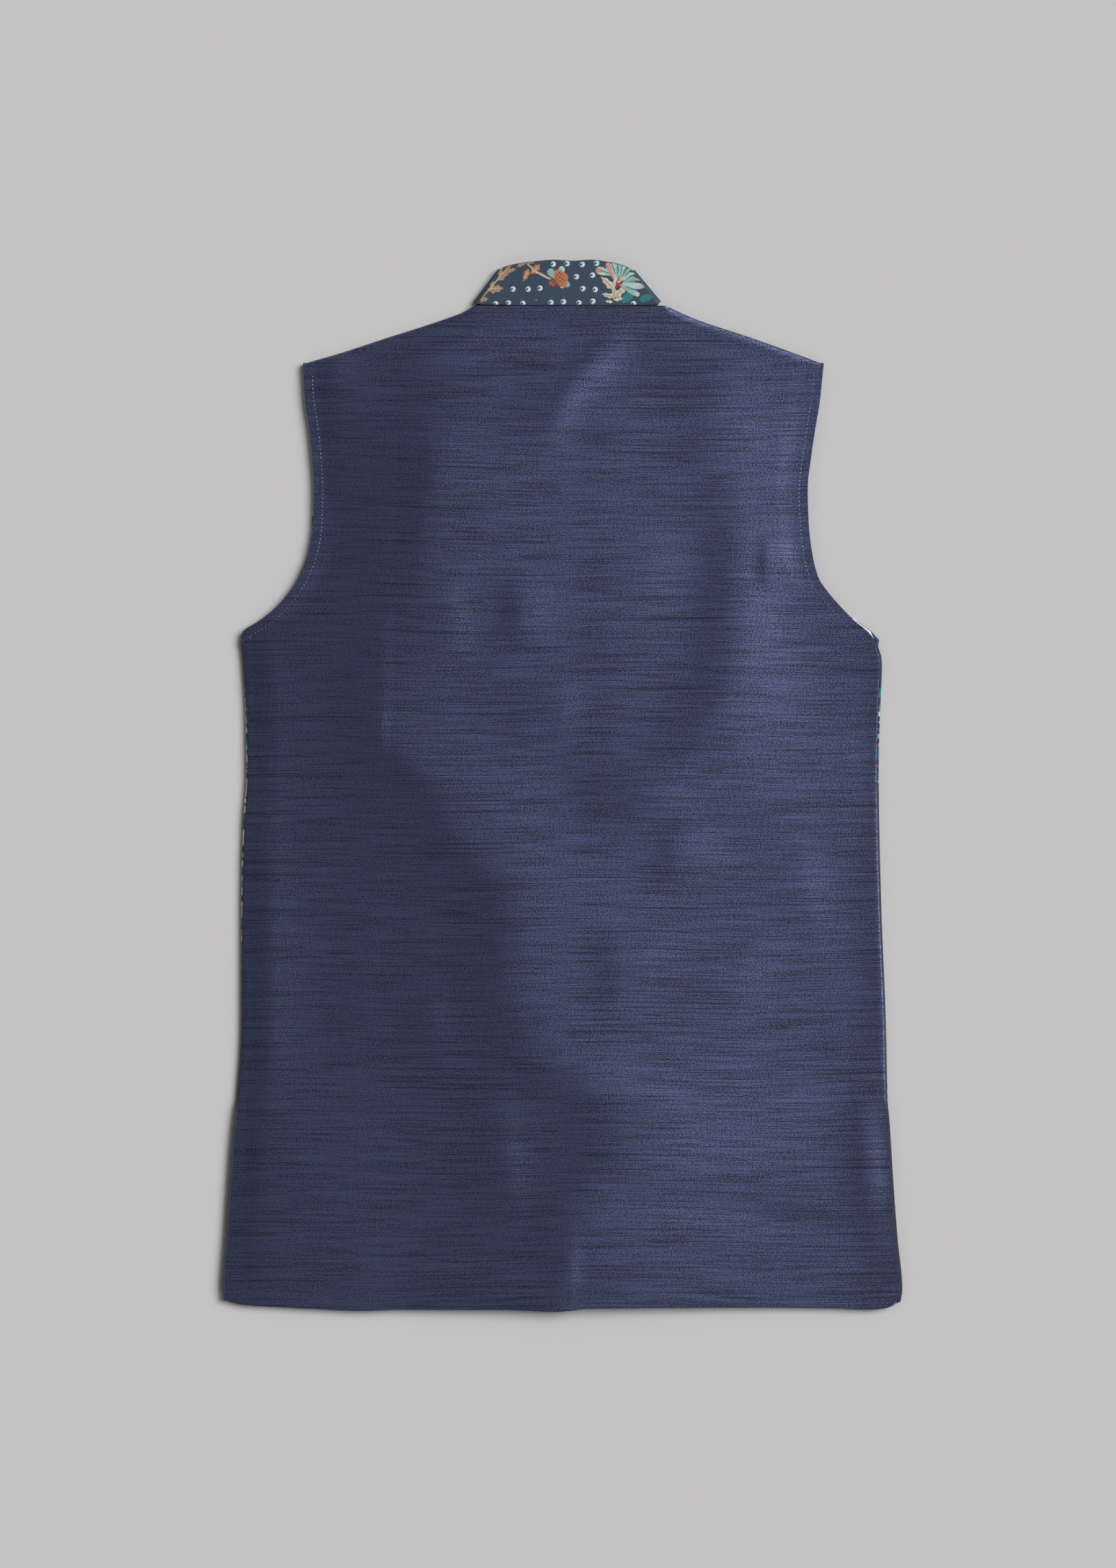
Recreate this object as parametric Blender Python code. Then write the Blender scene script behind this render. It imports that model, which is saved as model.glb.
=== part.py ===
"""A sleeveless Nehru jacket laid face down: its back on top, its fronts, linings and five buttons below.

The tables give millimetres: x to the right, height up from the hem towards the collar, z up from the floor.
The model is in metres, with its origin on the floor under the middle of the jacket.
"""

import math

import bpy
import numpy as np

MM = 0.001
CLOTH = 2.0  # the body cloth with its fusing
COLLAR_CLOTH = 2.4  # two stiffened layers
LINING_CLOTH = 1.0
SEAM_GAP = 0.3
MIDDLE_HEIGHT = 384.85  # halfway from the hem to the top of the collar
VENT_TOP = (144.0, 156.0)  # the vent's end, from open to sewn
UNDERARM = (485.0, 490.5)  # the side seam's end, from sewn to open
BACK_NECK = 737.3  # height of the seam between back and collar
FRONT_NECK = 638.0  # height of the front neck at the centre
NECK_LEFT, NECK_RIGHT = -65.0, 73.5  # the ends of the back neck seam
SHOULDER_TIP = 695.5

# The outline as it lies, at its two side edges: below the underarm the side seams, above it the armholes.
SIDE_COLUMNS = ("height", "left", "right")
SIDE_ROWS = (
    (0.0, -248.6, 248.6),
    (9.0, -250.0, 250.0),
    (52.0, -247.5, 246.5),
    (92.0, -245.0, 243.5),
    (132.0, -242.0, 241.0),
    (153.0, -239.5, 239.5),
    (214.0, -236.0, 238.0),
    (294.0, -236.0, 234.8),
    (355.0, -234.8, 233.3),
    (395.0, -232.3, 232.8),
    (436.0, -232.8, 233.8),
    (476.0, -235.0, 235.3),
    (488.0, -236.0, 231.5),
    (496.5, -235.5, 226.0),
    (506.5, -221.5, 214.0),
    (517.0, -209.0, 204.0),
    (527.0, -200.5, 195.4),
    (537.0, -194.0, 188.6),
    (557.0, -186.0, 183.6),
    (577.0, -182.8, 181.3),
    (602.0, -182.2, 180.5),
    (628.0, -183.8, 183.3),
    (648.0, -185.8, 186.3),
    (668.0, -188.8, 189.6),
    (SHOULDER_TIP, -190.4, 192.2),
)
# Shoulders and back neck: shares of the width from left to right, and of the climb from shoulder tip to neck.
TOP_COLUMNS = ("share", "climb")
TOP_ROWS = (
    (0.0, 0.0),
    (0.065, 0.17),
    (0.16, 0.45),
    (0.24, 0.68),
    (0.30, 0.87),
    (0.335, 1.0),
    (0.695, 1.0),
    (0.705, 0.97),
    (0.76, 0.76),
    (0.86, 0.46),
    (0.95, 0.17),
    (1.0, 0.0),
)
HEM_COLUMNS = ("share", "drop")
HEM_ROWS = (
    (0.0, -7.0),
    (0.03, -3.0),
    (0.08, -1.5),
    (0.14, 0.0),
    (0.205, 1.3),
    (0.26, 0.3),
    (0.42, 0.3),
    (0.492, 1.5),
    (0.54, -0.8),
    (0.80, -1.2),
    (0.90, -0.5),
    (0.955, 0.5),
    (0.985, -1.5),
    (1.0, -8.0),
)
HEM_FADE = 60.0

# The panels' rows run from a height at the side to others at the back's middle and at a front's inner edge.
# Up to the neck a front reaches past the centre, and from there its row ends round the neck, at a turn.
# Columns: side, middle, front, reach, neck_turn.
PANEL_ROWS = (
    (0.0, 0.0, 0.8, 20.0, 0.0),
    (9.0, 9.0, 9.0, 20.0, 0.0),
    (30.0, 30.0, 30.0, 20.0, 0.0),
    (54.0, 54.0, 54.0, 20.0, 0.0),
    (88.0, 88.0, 88.0, 20.0, 0.0),
    (120.0, 120.0, 120.0, 20.0, 0.0),
    (142.0, 142.0, 142.0, 20.0, 0.0),
    (156.0, 154.0, 156.0, 20.0, 0.0),
    (186.0, 186.0, 178.0, 20.0, 0.0),
    (216.0, 216.0, 206.0, 20.0, 0.0),
    (250.0, 250.0, 244.0, 20.0, 0.0),
    (286.0, 286.0, 283.0, 20.0, 0.0),
    (320.0, 320.0, 311.0, 20.0, 0.0),
    (355.0, 355.0, 349.0, 20.0, 0.0),
    (390.0, 390.0, 388.0, 20.0, 0.0),
    (425.0, 425.0, 416.0, 20.0, 0.0),
    (458.0, 458.0, 450.0, 20.0, 0.0),
    (476.0, 477.5, 474.0, 20.0, 0.0),
    (485.0, 489.0, 493.0, 20.0, 0.0),
    (490.5, 498.0, 507.0, 20.0, 0.0),
    (498.0, 509.0, 521.0, 20.0, 0.0),
    (506.5, 521.0, 540.0, 20.0, 0.0),
    (517.0, 535.0, 559.0, 20.0, 0.0),
    (528.0, 550.0, 578.0, 20.0, 0.0),
    (542.0, 567.0, 592.0, 20.0, 0.0),
    (558.0, 585.0, 606.0, 20.0, 0.0),
    (577.0, 604.0, 620.0, 20.0, 0.0),
    (596.0, 624.0, 631.0, 20.0, 0.0),
    (609.5, 640.0, 636.8, 14.0, 0.0),
    (616.0, 650.0, 0.0, 0.0, 8.0),
    (630.0, 666.0, 0.0, 0.0, 22.0),
    (646.0, 684.0, 0.0, 0.0, 38.0),
    (662.0, 702.0, 0.0, 0.0, 54.0),
    (678.0, 719.5, 0.0, 0.0, 71.0),
    (SHOULDER_TIP, BACK_NECK, 0.0, 0.0, 90.0),
)
SHOULDER_SPANS, NECK_SPANS = 8, 10
NECK_BLEND = 54.0  # degrees of the neck's turn over which a front's columns leave the lap's spacing

# The main fold: one long crest wanders up the back, and the cloth falls off from it to both sides.
CREST_COLUMNS = ("height", "x", "rise", "peak", "softness")
CREST_ROWS = (
    (0.0, 8.0, 4.5, 0.4, 0.06),
    (28.0, 10.0, 6.5, 1.2, 0.06),
    (78.0, 12.0, 8.0, 1.6, 0.06),
    (112.0, 40.0, 9.0, 1.2, 0.08),
    (146.0, 36.0, 9.2, 0.8, 0.10),
    (190.0, -20.0, 9.2, 1.0, 0.08),
    (230.0, -36.0, 9.2, 1.8, 0.06),
    (300.0, -40.0, 9.2, 2.0, 0.06),
    (341.0, -72.0, 9.2, 2.0, 0.06),
    (381.0, -94.0, 9.2, 2.0, 0.06),
    (422.0, -128.0, 9.2, 1.4, 0.08),
    (480.0, -126.0, 10.2, 0.4, 0.14),
    (560.0, -106.0, 11.0, 0.4, 0.20),
    (620.0, -99.0, 9.8, 0.4, 0.22),
    (670.0, -95.0, 6.6, 0.3, 0.24),
    (705.0, -92.0, 3.6, 0.2, 0.24),
    (737.3, -90.0, 0.4, 0.0, 0.24),
)
PEAK_WIDTHS = (34.0, 85.0)  # how far the peak along the crest reaches to its left and right
FLANK_START = 0.2  # the share of a flank over which it leaves the side's edge softly
SHOULDER_REACH = 26.0  # how far below the shoulder the main fold has its whole rise

# The back's other folds: the middle of the crest, half its length, its two widths, its turn and its rise.
# Columns: x, height, half_length, left_width, right_width, turn, rise.
FOLD_ROWS = (
    (121.0, 570.0, 120.0, 24.0, 42.0, -1.0, 3.0),
    (106.0, 420.0, 62.0, 34.0, 80.0, -32.0, 2.8),
    (50.0, 384.0, 26.0, 34.0, 40.0, -10.0, 1.8),
    (44.0, 250.0, 30.0, 18.0, 60.0, 4.0, 1.3),
    (128.0, 250.0, 46.0, 44.0, 26.0, -12.0, 0.9),
    (176.0, 300.0, 42.0, 40.0, 20.0, 14.0, 0.9),
    (-30.0, 510.0, 20.0, 12.0, 24.0, 0.0, 1.3),
    (-84.0, 506.0, 26.0, 26.0, 15.0, 8.0, 0.9),
    (-2.0, 443.0, 22.0, 32.0, 14.0, -6.0, 0.9),
    (26.0, 700.0, 46.0, 12.0, 15.0, -34.0, 1.3),
    (-2.0, 668.0, 32.0, 28.0, 13.0, -20.0, 1.1),
    (-42.0, 108.0, 44.0, 24.0, 13.0, 6.0, 1.1),
    (-185.0, 96.0, 100.0, 46.0, 60.0, -6.0, 1.2),
    (-166.0, 640.0, 66.0, 14.0, 34.0, 4.0, 1.9),
    (-218.0, 446.0, 54.0, 12.0, 34.0, 0.0, 1.8),
    (-222.0, 250.0, 130.0, 12.0, 26.0, 0.0, 1.4),
)
FOLD_MARGIN = 22.0  # how far in from the sides the folds have their whole rise
FOLD_TOP = (690.0, 735.0)  # heights over which they die out below the neck
HEM_REACH = 60.0  # how far up from the hem they have their whole rise
HEM_SHARE = 0.4  # of the folds' rise that is left at the hem
LINING_SHARE = 0.25  # of the back's rise that the lining puffs up below it

BUTTON_HEIGHTS = (606.0, 507.0, 402.0, 297.0, 192.0)
BUTTON_RADIUS = 7.5
BUTTON_THICKNESS = 2.4
BUTTON_ROUNDING = 0.5
LIFT = BUTTON_THICKNESS + SEAM_GAP  # how far the fronts stand up over a button
LIFT_SAG = 0.4  # the share of the lift that is left halfway between two buttons
# Columns of a front from its inner edge, so that the lap and the lift over the buttons have their own corners.
LEFT_LAP = (0.0, 10.0, 30.0, 40.0)
RIGHT_LAP = (0.0, 10.0, 30.0, 40.0, 54.0)
LIFT_TOP, LIFT_FOOT = 10.0, 20.0  # half widths of the lift's flat top and of its foot
LIFT_START, LIFT_END = (90.0, 150.0), (621.0, 630.0)  # where it comes up and where it ends
LIFT_FLAT, LIFT_SAGGED = 14.0, 40.0  # how far from a button it is whole, and how far it has sagged
LAP_EDGE, LAP_FOOT = 26.0, 34.0  # where the upper front leaves the lower one and reaches the floor
LAP_CORNER, LAP_SPREAD = 636.0, 5.5  # above this height its foot moves out, by so much for each step up
LAP_END = (642.0, 662.0)  # heights over which it comes down to the floor round the neck

FRONT_Z = CLOTH / 2  # the lower layer's middle surface
LAP_STEP = CLOTH + SEAM_GAP
LINING_Z = CLOTH + SEAM_GAP + LINING_CLOTH / 2
BACK_Z = CLOTH + SEAM_GAP + LINING_CLOTH + SEAM_GAP + CLOTH / 2  # the back's middle surface at its edges
PLACKET_RISE = CLOTH + SEAM_GAP + LIFT - LINING_CLOTH
PLACKET_HALF, PLACKET_FOOT = 24.0, 165.0
PLACKET_TOP = (645.0, 705.0)  # heights over which the back comes down from the lap
PLACKET_LEFT = 0.1  # the share of its rise that is left there
ROLL_RADIUS = (BACK_Z - FRONT_Z) / 2  # of the cloth's middle where it turns round the side
ROLL_REACH = ROLL_RADIUS + CLOTH / 2
ROLL_SHARES = (0.0, 0.06, 0.35, 0.68, 1.0)  # places round the roll, with a short first one to square the edge
ROLL_SPANS = len(ROLL_SHARES) - 1
SEAM_TURN = 20.0  # degrees of the roll that the seam's gap takes
SHOULDER_SEAM = -6.0  # degrees on the roll where the back ends at the shoulder
ROLL_END = (0.93, 0.99)  # the climbs between which the shoulder's roll dies out at the neck
LINING_MARGIN = 0.8
LINING_FOOT = 2  # the row of the panels that the lining starts from, clear of the hem
LINING_REACH = 0.8  # the share of its last column that it covers
LINING_TUCK = 6.0  # how far the lining's edge stays inside the roll past the underarm

# Where the back's edge lies on the side's roll: degrees above its outermost line, where a high one shows more.
SEAM_COLUMNS = ("height", "left", "right")
SEAM_ROWS = (
    (0.0, 5.0, 5.0),
    (88.0, 5.0, 5.0),
    (110.0, 5.0, 45.0),
    (142.0, 5.0, 40.0),
    (186.0, 10.0, 5.0),
    (250.0, 30.0, 5.0),
    (300.0, 55.0, 5.0),
    (360.0, 60.0, 10.0),
    (400.0, 55.0, 50.0),
    (440.0, 50.0, 70.0),
    (470.0, 15.0, 75.0),
    (500.0, 5.0, 60.0),
)
# How far the front's edge lies outside the back's, along the vent and the armhole.
SCYE_COLUMNS = ("height", "left", "right")
SCYE_ROWS = (
    (0.0, -0.8, -0.8),
    (480.0, -0.8, 0.5),
    (492.0, -0.6, 3.0),
    (500.0, -1.0, 3.0),
    (510.0, -2.0, 0.0),
    (540.0, -3.0, -4.0),
    (565.0, -1.0, -5.0),
    (579.0, 1.4, -5.0),
    (592.0, -1.5, -5.0),
    (640.0, -3.0, -3.0),
    (SHOULDER_TIP, -1.0, -1.0),
)

# The collar band, flattened: its front halves lie on the floor below the back, its back half shows beyond it.
BAND_HEIGHT = 33.0
BAND_CORNER = 12.0
BAND_LEAN = 45.0  # degrees that the band's height leans inwards at the shoulder
BAND_POINTS = 4
BAND_Z = COLLAR_CLOTH / 2
BAND_BACK_Z = BACK_Z + 0.4
BAND_SEAM = 0.6
BAND_TURNS = (0.4, 2.7, 8.0, 22.0, 38.0, 54.0, 71.0)  # the neck's turn at each section of a front half
# Columns: foot_x, foot_height, top_x, top_height, z.
BACK_BAND_ROWS = (
    (-58.0, 738.0, -42.5, 765.8, BAND_BACK_Z),
    (-48.0, 738.0, -33.0, 768.2, BAND_BACK_Z),
    (-30.0, 737.6, -20.0, 769.9, BAND_BACK_Z + 0.3),
    (-12.0, 737.6, -6.0, 770.9, BAND_BACK_Z + 0.5),
    (6.0, 737.6, 8.0, 770.2, BAND_BACK_Z + 0.5),
    (24.0, 737.6, 21.0, 771.0, BAND_BACK_Z + 0.5),
    (42.0, 737.6, 33.0, 769.6, BAND_BACK_Z + 0.3),
    (58.0, 737.8, 43.0, 767.6, BAND_BACK_Z),
    (67.0, 738.0, 49.5, 764.8, BAND_BACK_Z),
)
# The line that the band folds along at each end of its back half: its foot and its top.
BAND_FOLDS = {"left": ((-62.6, 738.8), (-45.6, 763.4)), "right": ((70.2, 738.8), (52.0, 762.6))}
BAND_FOLD_TURNS = (-60.0, -30.0, 0.0, 30.0, 60.0)
CLOTH_SHARP, BUTTON_SHARP = 40.0, 35.0  # degrees between faces from which an edge is shaded sharp

SILK_COLOUR = (0.045, 0.053, 0.105, 1.0)
PRINT_COLOUR = (0.022, 0.045, 0.075, 1.0)
LINING_COLOUR = (0.62, 0.60, 0.72, 1.0)
BUTTON_COLOUR = (0.18, 0.12, 0.05, 1.0)


def eased(share):
    """0 to 1 with soft ends."""
    share = np.clip(share, 0.0, 1.0)
    return share * share * (3.0 - 2.0 * share)


def step_between(at, start, end):
    """0 before the start, 1 past the end, softly between."""
    return float(eased((at - start) / (end - start)))


def slopes(knots, values):
    """Slopes of a smooth line through the values that never overshoots them."""
    steps = np.diff(knots)
    rates = np.diff(values) / steps
    found = np.zeros(len(values))
    found[0], found[-1] = rates[0], rates[-1]
    for k in range(1, len(values) - 1):
        if rates[k - 1] * rates[k] > 0:
            before, after = 2 * steps[k] + steps[k - 1], steps[k] + 2 * steps[k - 1]
            found[k] = (before + after) / (before / rates[k - 1] + after / rates[k])
    return found


def read_line(rows, names, along, name, at):
    """One column of a table at any place along another, on a smooth line."""
    knots = np.array([row[names.index(along)] for row in rows])
    values = np.array([row[names.index(name)] for row in rows])
    at = min(max(at, knots[0]), knots[-1])
    tilt = slopes(knots, values)
    k = min(int(np.searchsorted(knots, at, side="right")) - 1, len(knots) - 2)
    step = knots[k + 1] - knots[k]
    t = (at - knots[k]) / step
    return float(
        (1 + 2 * t) * (1 - t) ** 2 * values[k]
        + t * (1 - t) ** 2 * step * tilt[k]
        + t * t * (3 - 2 * t) * values[k + 1]
        + t * t * (t - 1) * step * tilt[k + 1]
    )


def side_edge(height, side):
    return read_line(SIDE_ROWS, SIDE_COLUMNS, "height", side, height)


def seam_closed(height):
    """1 where the side seam is sewn, 0 along the vent and the armhole."""
    return step_between(height, *VENT_TOP) * (1 - step_between(height, *UNDERARM))


def climb(share):
    return read_line(TOP_ROWS, TOP_COLUMNS, "share", "climb", share)


def hem_drop(x, height):
    left, right = side_edge(height, "left"), side_edge(height, "right")
    share = (x - left) / (right - left)
    drop = read_line(HEM_ROWS, HEM_COLUMNS, "share", "drop", share)
    return drop * float(1 - eased(height / HEM_FADE))


def folds(x, height):
    """Sum of the soft folds' rises at a point of the back."""
    total = 0.0
    for across, up, half_length, left_width, right_width, turn, rise in FOLD_ROWS:
        lean = math.radians(turn)
        along = ((height - up) * math.cos(lean) - (x - across) * math.sin(lean)) / half_length
        off = (x - across) * math.cos(lean) + (height - up) * math.sin(lean)
        off /= left_width if off < 0 else right_width
        total += rise * math.exp(-along * along - off * off)
    return total


def main_fold(x, height, left, right):
    """The rise of the long fold: two nearly straight flanks that meet in a round crest with a low peak."""
    crest, rise, peak, soft = (
        read_line(CREST_ROWS, CREST_COLUMNS, "height", name, height) for name in CREST_COLUMNS[1:]
    )
    flanks = (x - left) / (crest - left), (right - x) / (right - crest)
    meet = max(-soft * float(np.logaddexp(-flanks[0] / soft, -flanks[1] / soft)), 0.0)
    off = (x - crest) / (PEAK_WIDTHS[0] if x < crest else PEAK_WIDTHS[1])
    peak *= math.exp(-off * off) * float(eased(meet / FLANK_START))
    top = SHOULDER_TIP + (BACK_NECK - SHOULDER_TIP) * climb((x - left) / (right - left))
    risen = rise * (math.hypot(meet, FLANK_START) - FLANK_START) + peak
    return risen * float(eased((top - height) / SHOULDER_REACH))


def back_rise(x, height, left, right):
    """How far the back stands above its edges: over the lapped fronts, and in its soft folds."""
    placket = PLACKET_RISE * float(1 - eased((abs(x) - PLACKET_HALF) / (PLACKET_FOOT - PLACKET_HALF)))
    placket *= 1 - (1 - PLACKET_LEFT) * step_between(height, *PLACKET_TOP)
    inside = float(eased(min(x - left, right - x) / FOLD_MARGIN)) * (1 - step_between(height, *FOLD_TOP))
    inside *= HEM_SHARE + (1 - HEM_SHARE) * float(eased(height / HEM_REACH))
    folded = max(inside * folds(x, height) + main_fold(x, height, left, right), 0.0)
    return (placket**3 + folded**3) ** (1 / 3)


def lift(x, height):
    """How far the lapped fronts stand up over the nearest button, sagging between two of them."""
    beside = (LIFT_FOOT - abs(x)) / (LIFT_FOOT - LIFT_TOP)
    away = min(abs(height - place) for place in BUTTON_HEIGHTS)
    sagged = 1 - (1 - LIFT_SAG) * step_between(away, LIFT_FLAT, LIFT_SAGGED)
    ends = step_between(height, *LIFT_START) * (1 - step_between(height, *LIFT_END))
    return LIFT * min(max(beside, 0.0), 1.0) * sagged * ends


def front_z(x, height, side):
    """Height of a front's middle surface. The right front laps over the left one."""
    z = FRONT_Z + lift(x, height)
    if side == "right":
        foot = LAP_FOOT + LAP_SPREAD * max(height - LAP_CORNER, 0.0)
        lapped = min(max((foot - x) / (LAP_FOOT - LAP_EDGE), 0.0), 1.0)
        z += LAP_STEP * lapped * (1 - step_between(height, *LAP_END))
    return z


def roll_point(share, first_turn, last_turn):
    """A point of the roll's arc: how far in from its outermost line, and how high."""
    turn = math.radians(first_turn + share * (last_turn - first_turn))
    return ROLL_REACH - ROLL_RADIUS * math.cos(turn), FRONT_Z + ROLL_RADIUS * (1 + math.sin(turn))


def inward(side):
    return 1.0 if side == "left" else -1.0


def outer_edge(height, side, layer):
    """x of a panel's outermost line."""
    outer = side_edge(height, side)
    if layer == "front":
        outside = read_line(SCYE_ROWS, SCYE_COLUMNS, "height", side, height)
        outer -= inward(side) * outside * (1 - seam_closed(height))
    return outer


def rolled_edge(height, side, layer):
    """(x, z) across a panel's rolled side, from its edge inwards."""
    outer = outer_edge(height, side, layer)
    seam = read_line(SEAM_ROWS, SEAM_COLUMNS, "height", side, height)
    closed = seam_closed(height)
    turns = (seam, 90.0) if layer == "back" else (seam - SEAM_TURN, -90.0)
    flat_z = BACK_Z if layer == "back" else FRONT_Z
    found = []
    for share in ROLL_SHARES:
        reach, z = roll_point(share, *turns)
        reach = ROLL_REACH * share + closed * (reach - ROLL_REACH * share)
        found.append((outer + inward(side) * reach, flat_z + closed * (z - flat_z)))
    return found


def neck_share(side):
    """The share of the top's width at which the neck begins, from that side's shoulder tip."""
    ends = [outer_edge(SHOULDER_TIP, name, "back") + inward(name) * ROLL_REACH for name in ("left", "right")]
    place = NECK_LEFT if side == "left" else NECK_RIGHT
    return abs(place - ends[side == "right"]) / (ends[1] - ends[0])


def back_grid():
    """The back's middle surface, from side to side and from the hem to the shoulders and neck."""
    left_neck, right_neck = neck_share("left"), 1 - neck_share("right")
    shares = np.concatenate(
        [
            np.linspace(0, left_neck, SHOULDER_SPANS, endpoint=False),
            np.linspace(left_neck, right_neck, NECK_SPANS, endpoint=False),
            np.linspace(right_neck, 1, SHOULDER_SPANS + 1),
        ]
    )
    climbs = [climb(share) for share in shares]
    rows = []
    for side, middle, *_ in PANEL_ROWS:
        left = rolled_edge(side, "left", "back")
        right = rolled_edge(side, "right", "back")[::-1]
        start, end = left[-1][0], right[0][0]
        line = []
        for share, rising in zip(shares, climbs):
            x = start + share * (end - start)
            height = side + (middle - side) * rising
            z = BACK_Z + back_rise(x, height, start, end)
            line.append((x, height - hem_drop(x, height), z))
        left_rim = [(x, line[0][1], z) for x, z in left[:-1]]
        right_rim = [(x, line[-1][1], z) for x, z in right[1:]]
        rows.append(left_rim + line + right_rim)
    rim = [0.0] * ROLL_SPANS
    return with_shoulder_roll(np.array(rows), rim + climbs + rim, "back")


def front_edge(front, reach, neck_turn, side):
    """The inner end of a front's row: (x, height), past the centre or round the neck."""
    past = inward(side)
    if neck_turn == 0:
        return past * reach, front
    turn = math.radians(neck_turn)
    half = -NECK_LEFT if side == "left" else NECK_RIGHT
    return -past * half * math.sin(turn), FRONT_NECK + (BACK_NECK - FRONT_NECK) * (1 - math.cos(turn))


def front_grid(side):
    """A front's middle surface, from its side inwards and from the hem to the shoulder."""
    lap = np.array(LEFT_LAP if side == "left" else RIGHT_LAP)[::-1]
    even = np.linspace(0, 1, SHOULDER_SPANS + 1)
    outer_columns = SHOULDER_SPANS + 1 - len(lap)
    top_shares = even * neck_share(side)
    shoulder_climbs = np.array([climb(share if side == "left" else 1 - share) for share in top_shares])
    rows = []
    for side_height, _, front, reach, neck_turn in PANEL_ROWS:
        rim = rolled_edge(side_height, side, "front")
        start = rim[-1][0]
        end, end_height = front_edge(front, reach, neck_turn, side)
        outer = np.linspace(start, end - inward(side) * lap[0], outer_columns + 1)[:-1]
        lapped = np.concatenate([outer, end - inward(side) * lap])
        lapped_climbs = np.minimum(np.arange(SHOULDER_SPANS + 1) / outer_columns, 1.0)
        neck = float(eased(neck_turn / NECK_BLEND))
        places = lapped + neck * (start + even * (end - start) - lapped)
        climbs = lapped_climbs + neck * (shoulder_climbs - lapped_climbs)
        line = []
        for x, rising in zip(places, climbs):
            height = side_height + (end_height - side_height) * rising
            line.append((x, height - hem_drop(x, height), front_z(x, height, side)))
        rows.append([(x, line[0][1], z) for x, z in rim[:-1]] + line)
    return with_shoulder_roll(np.array(rows), [0.0] * ROLL_SPANS + list(shoulder_climbs), "front")


def with_shoulder_roll(grid, climbs, layer):
    """Adds rows past a panel's top that roll round the shoulder, and stay flat along the neck."""
    top = grid[-1].copy()
    turns = (SHOULDER_SEAM, 90.0) if layer == "back" else (SHOULDER_SEAM - SEAM_TURN, -90.0)
    on_shoulder = np.array([1 - step_between(rising, *ROLL_END) for rising in climbs])
    grid[-1, :, 1] -= ROLL_REACH
    extra = []
    for share in ROLL_SHARES[-2::-1]:
        line = grid[-1].copy()
        reach, z = roll_point(share, *turns)
        flat = top[:, 1] - ROLL_REACH * share - SEAM_GAP / 2 * (1 - share)
        line[:, 1] = flat + on_shoulder * (top[:, 1] - reach - flat)
        line[:, 2] += on_shoulder * (z - top[:, 2])
        extra.append(line)
    return np.concatenate([grid, np.array(extra)])


def lining_grid(side, front):
    """A lining's middle surface, made from its front's points and moved up, with the back's puff."""
    lap = LEFT_LAP if side == "left" else RIGHT_LAP
    last = ROLL_SPANS + SHOULDER_SPANS + 1 - len(lap)
    rows = []
    for k, (side_height, *_) in list(enumerate(PANEL_ROWS))[LINING_FOOT:]:
        line = front[k, ROLL_SPANS : last + 1].copy()
        tucked = max(seam_closed(side_height), seam_closed(side_height - LINING_TUCK))
        margin = LINING_MARGIN + tucked * (ROLL_REACH + SEAM_GAP - LINING_MARGIN)
        line[0, 0] = outer_edge(side_height, side, "front") + inward(side) * margin
        line[-1, 0] = line[-2, 0] + LINING_REACH * (line[-1, 0] - line[-2, 0])
        if k == len(PANEL_ROWS) - 1:
            line[:, 1] -= LINING_MARGIN
        ends = [outer_edge(side_height, name, "back") + inward(name) * ROLL_REACH for name in ("left", "right")]
        for point in line:
            point[2] = LINING_Z + LINING_SHARE * back_rise(point[0], point[1], *ends)
        rows.append(line)
    return np.array(rows)


def band_height(away):
    """Height of the band at a distance from its end, with a round corner."""
    if away >= BAND_CORNER:
        return BAND_HEIGHT
    return BAND_HEIGHT - BAND_CORNER + math.sqrt(BAND_CORNER**2 - (BAND_CORNER - away) ** 2)


def front_band(side):
    """Sections of a front half, from the centre to the shoulder, as in BACK_BAND_ROWS."""
    half = (-NECK_LEFT if side == "left" else NECK_RIGHT) - BAND_SEAM
    foot_rise = BACK_NECK - FRONT_NECK - BAND_SEAM
    found = []
    for degrees in BAND_TURNS:
        turn = math.radians(degrees)
        lean = math.radians(BAND_LEAN) * math.sin(turn)
        x = -inward(side) * half * math.sin(turn)
        foot = FRONT_NECK + BAND_SEAM + foot_rise * (1 - math.cos(turn))
        tall = band_height(half * math.sin(turn))
        top_x, top = x + inward(side) * tall * math.sin(lean), foot + tall * math.cos(lean)
        found.append((x, foot, top_x, top, BAND_Z))
    return found


def band_fold(side):
    """Sections round the band's fold, from the floor up to the back half."""
    (foot_x, foot_height), (top_x, top_height) = BAND_FOLDS[side]
    run = math.hypot(top_x - foot_x, top_height - foot_height)
    out_x = -inward(side) * (top_height - foot_height) / run
    out_height = inward(side) * (top_x - foot_x) / run
    radius = (BAND_BACK_Z - BAND_Z) / 2
    found = []
    for degrees in BAND_FOLD_TURNS:
        out = radius * math.cos(math.radians(degrees))
        z = BAND_Z + radius * (1 + math.sin(math.radians(degrees)))
        shift_x, shift = out * out_x, out * out_height
        found.append((foot_x + shift_x, foot_height + shift, top_x + shift_x, top_height + shift, z))
    return found


def band_grid():
    """The collar's middle surface, from one end of it at the centre front round the back to the other."""
    sections = front_band("left") + band_fold("left") + list(BACK_BAND_ROWS)
    sections += band_fold("right")[::-1] + front_band("right")[::-1]
    rows = []
    for foot_x, foot, top_x, top, z in sections:
        shares = np.linspace(0, 1, BAND_POINTS)
        line = [(foot_x + share * (top_x - foot_x), foot + share * (top - foot), z) for share in shares]
        rows.append(line)
    return np.array(rows)


def plain_material(name, colour, roughness, metallic=0.0):
    material = bpy.data.materials.new(name)
    material.use_nodes = True
    shader = material.node_tree.nodes["Principled BSDF"]
    shader.inputs["Base Color"].default_value = colour
    shader.inputs["Roughness"].default_value = roughness
    shader.inputs["Metallic"].default_value = metallic
    material.diffuse_color = colour
    return material


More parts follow.
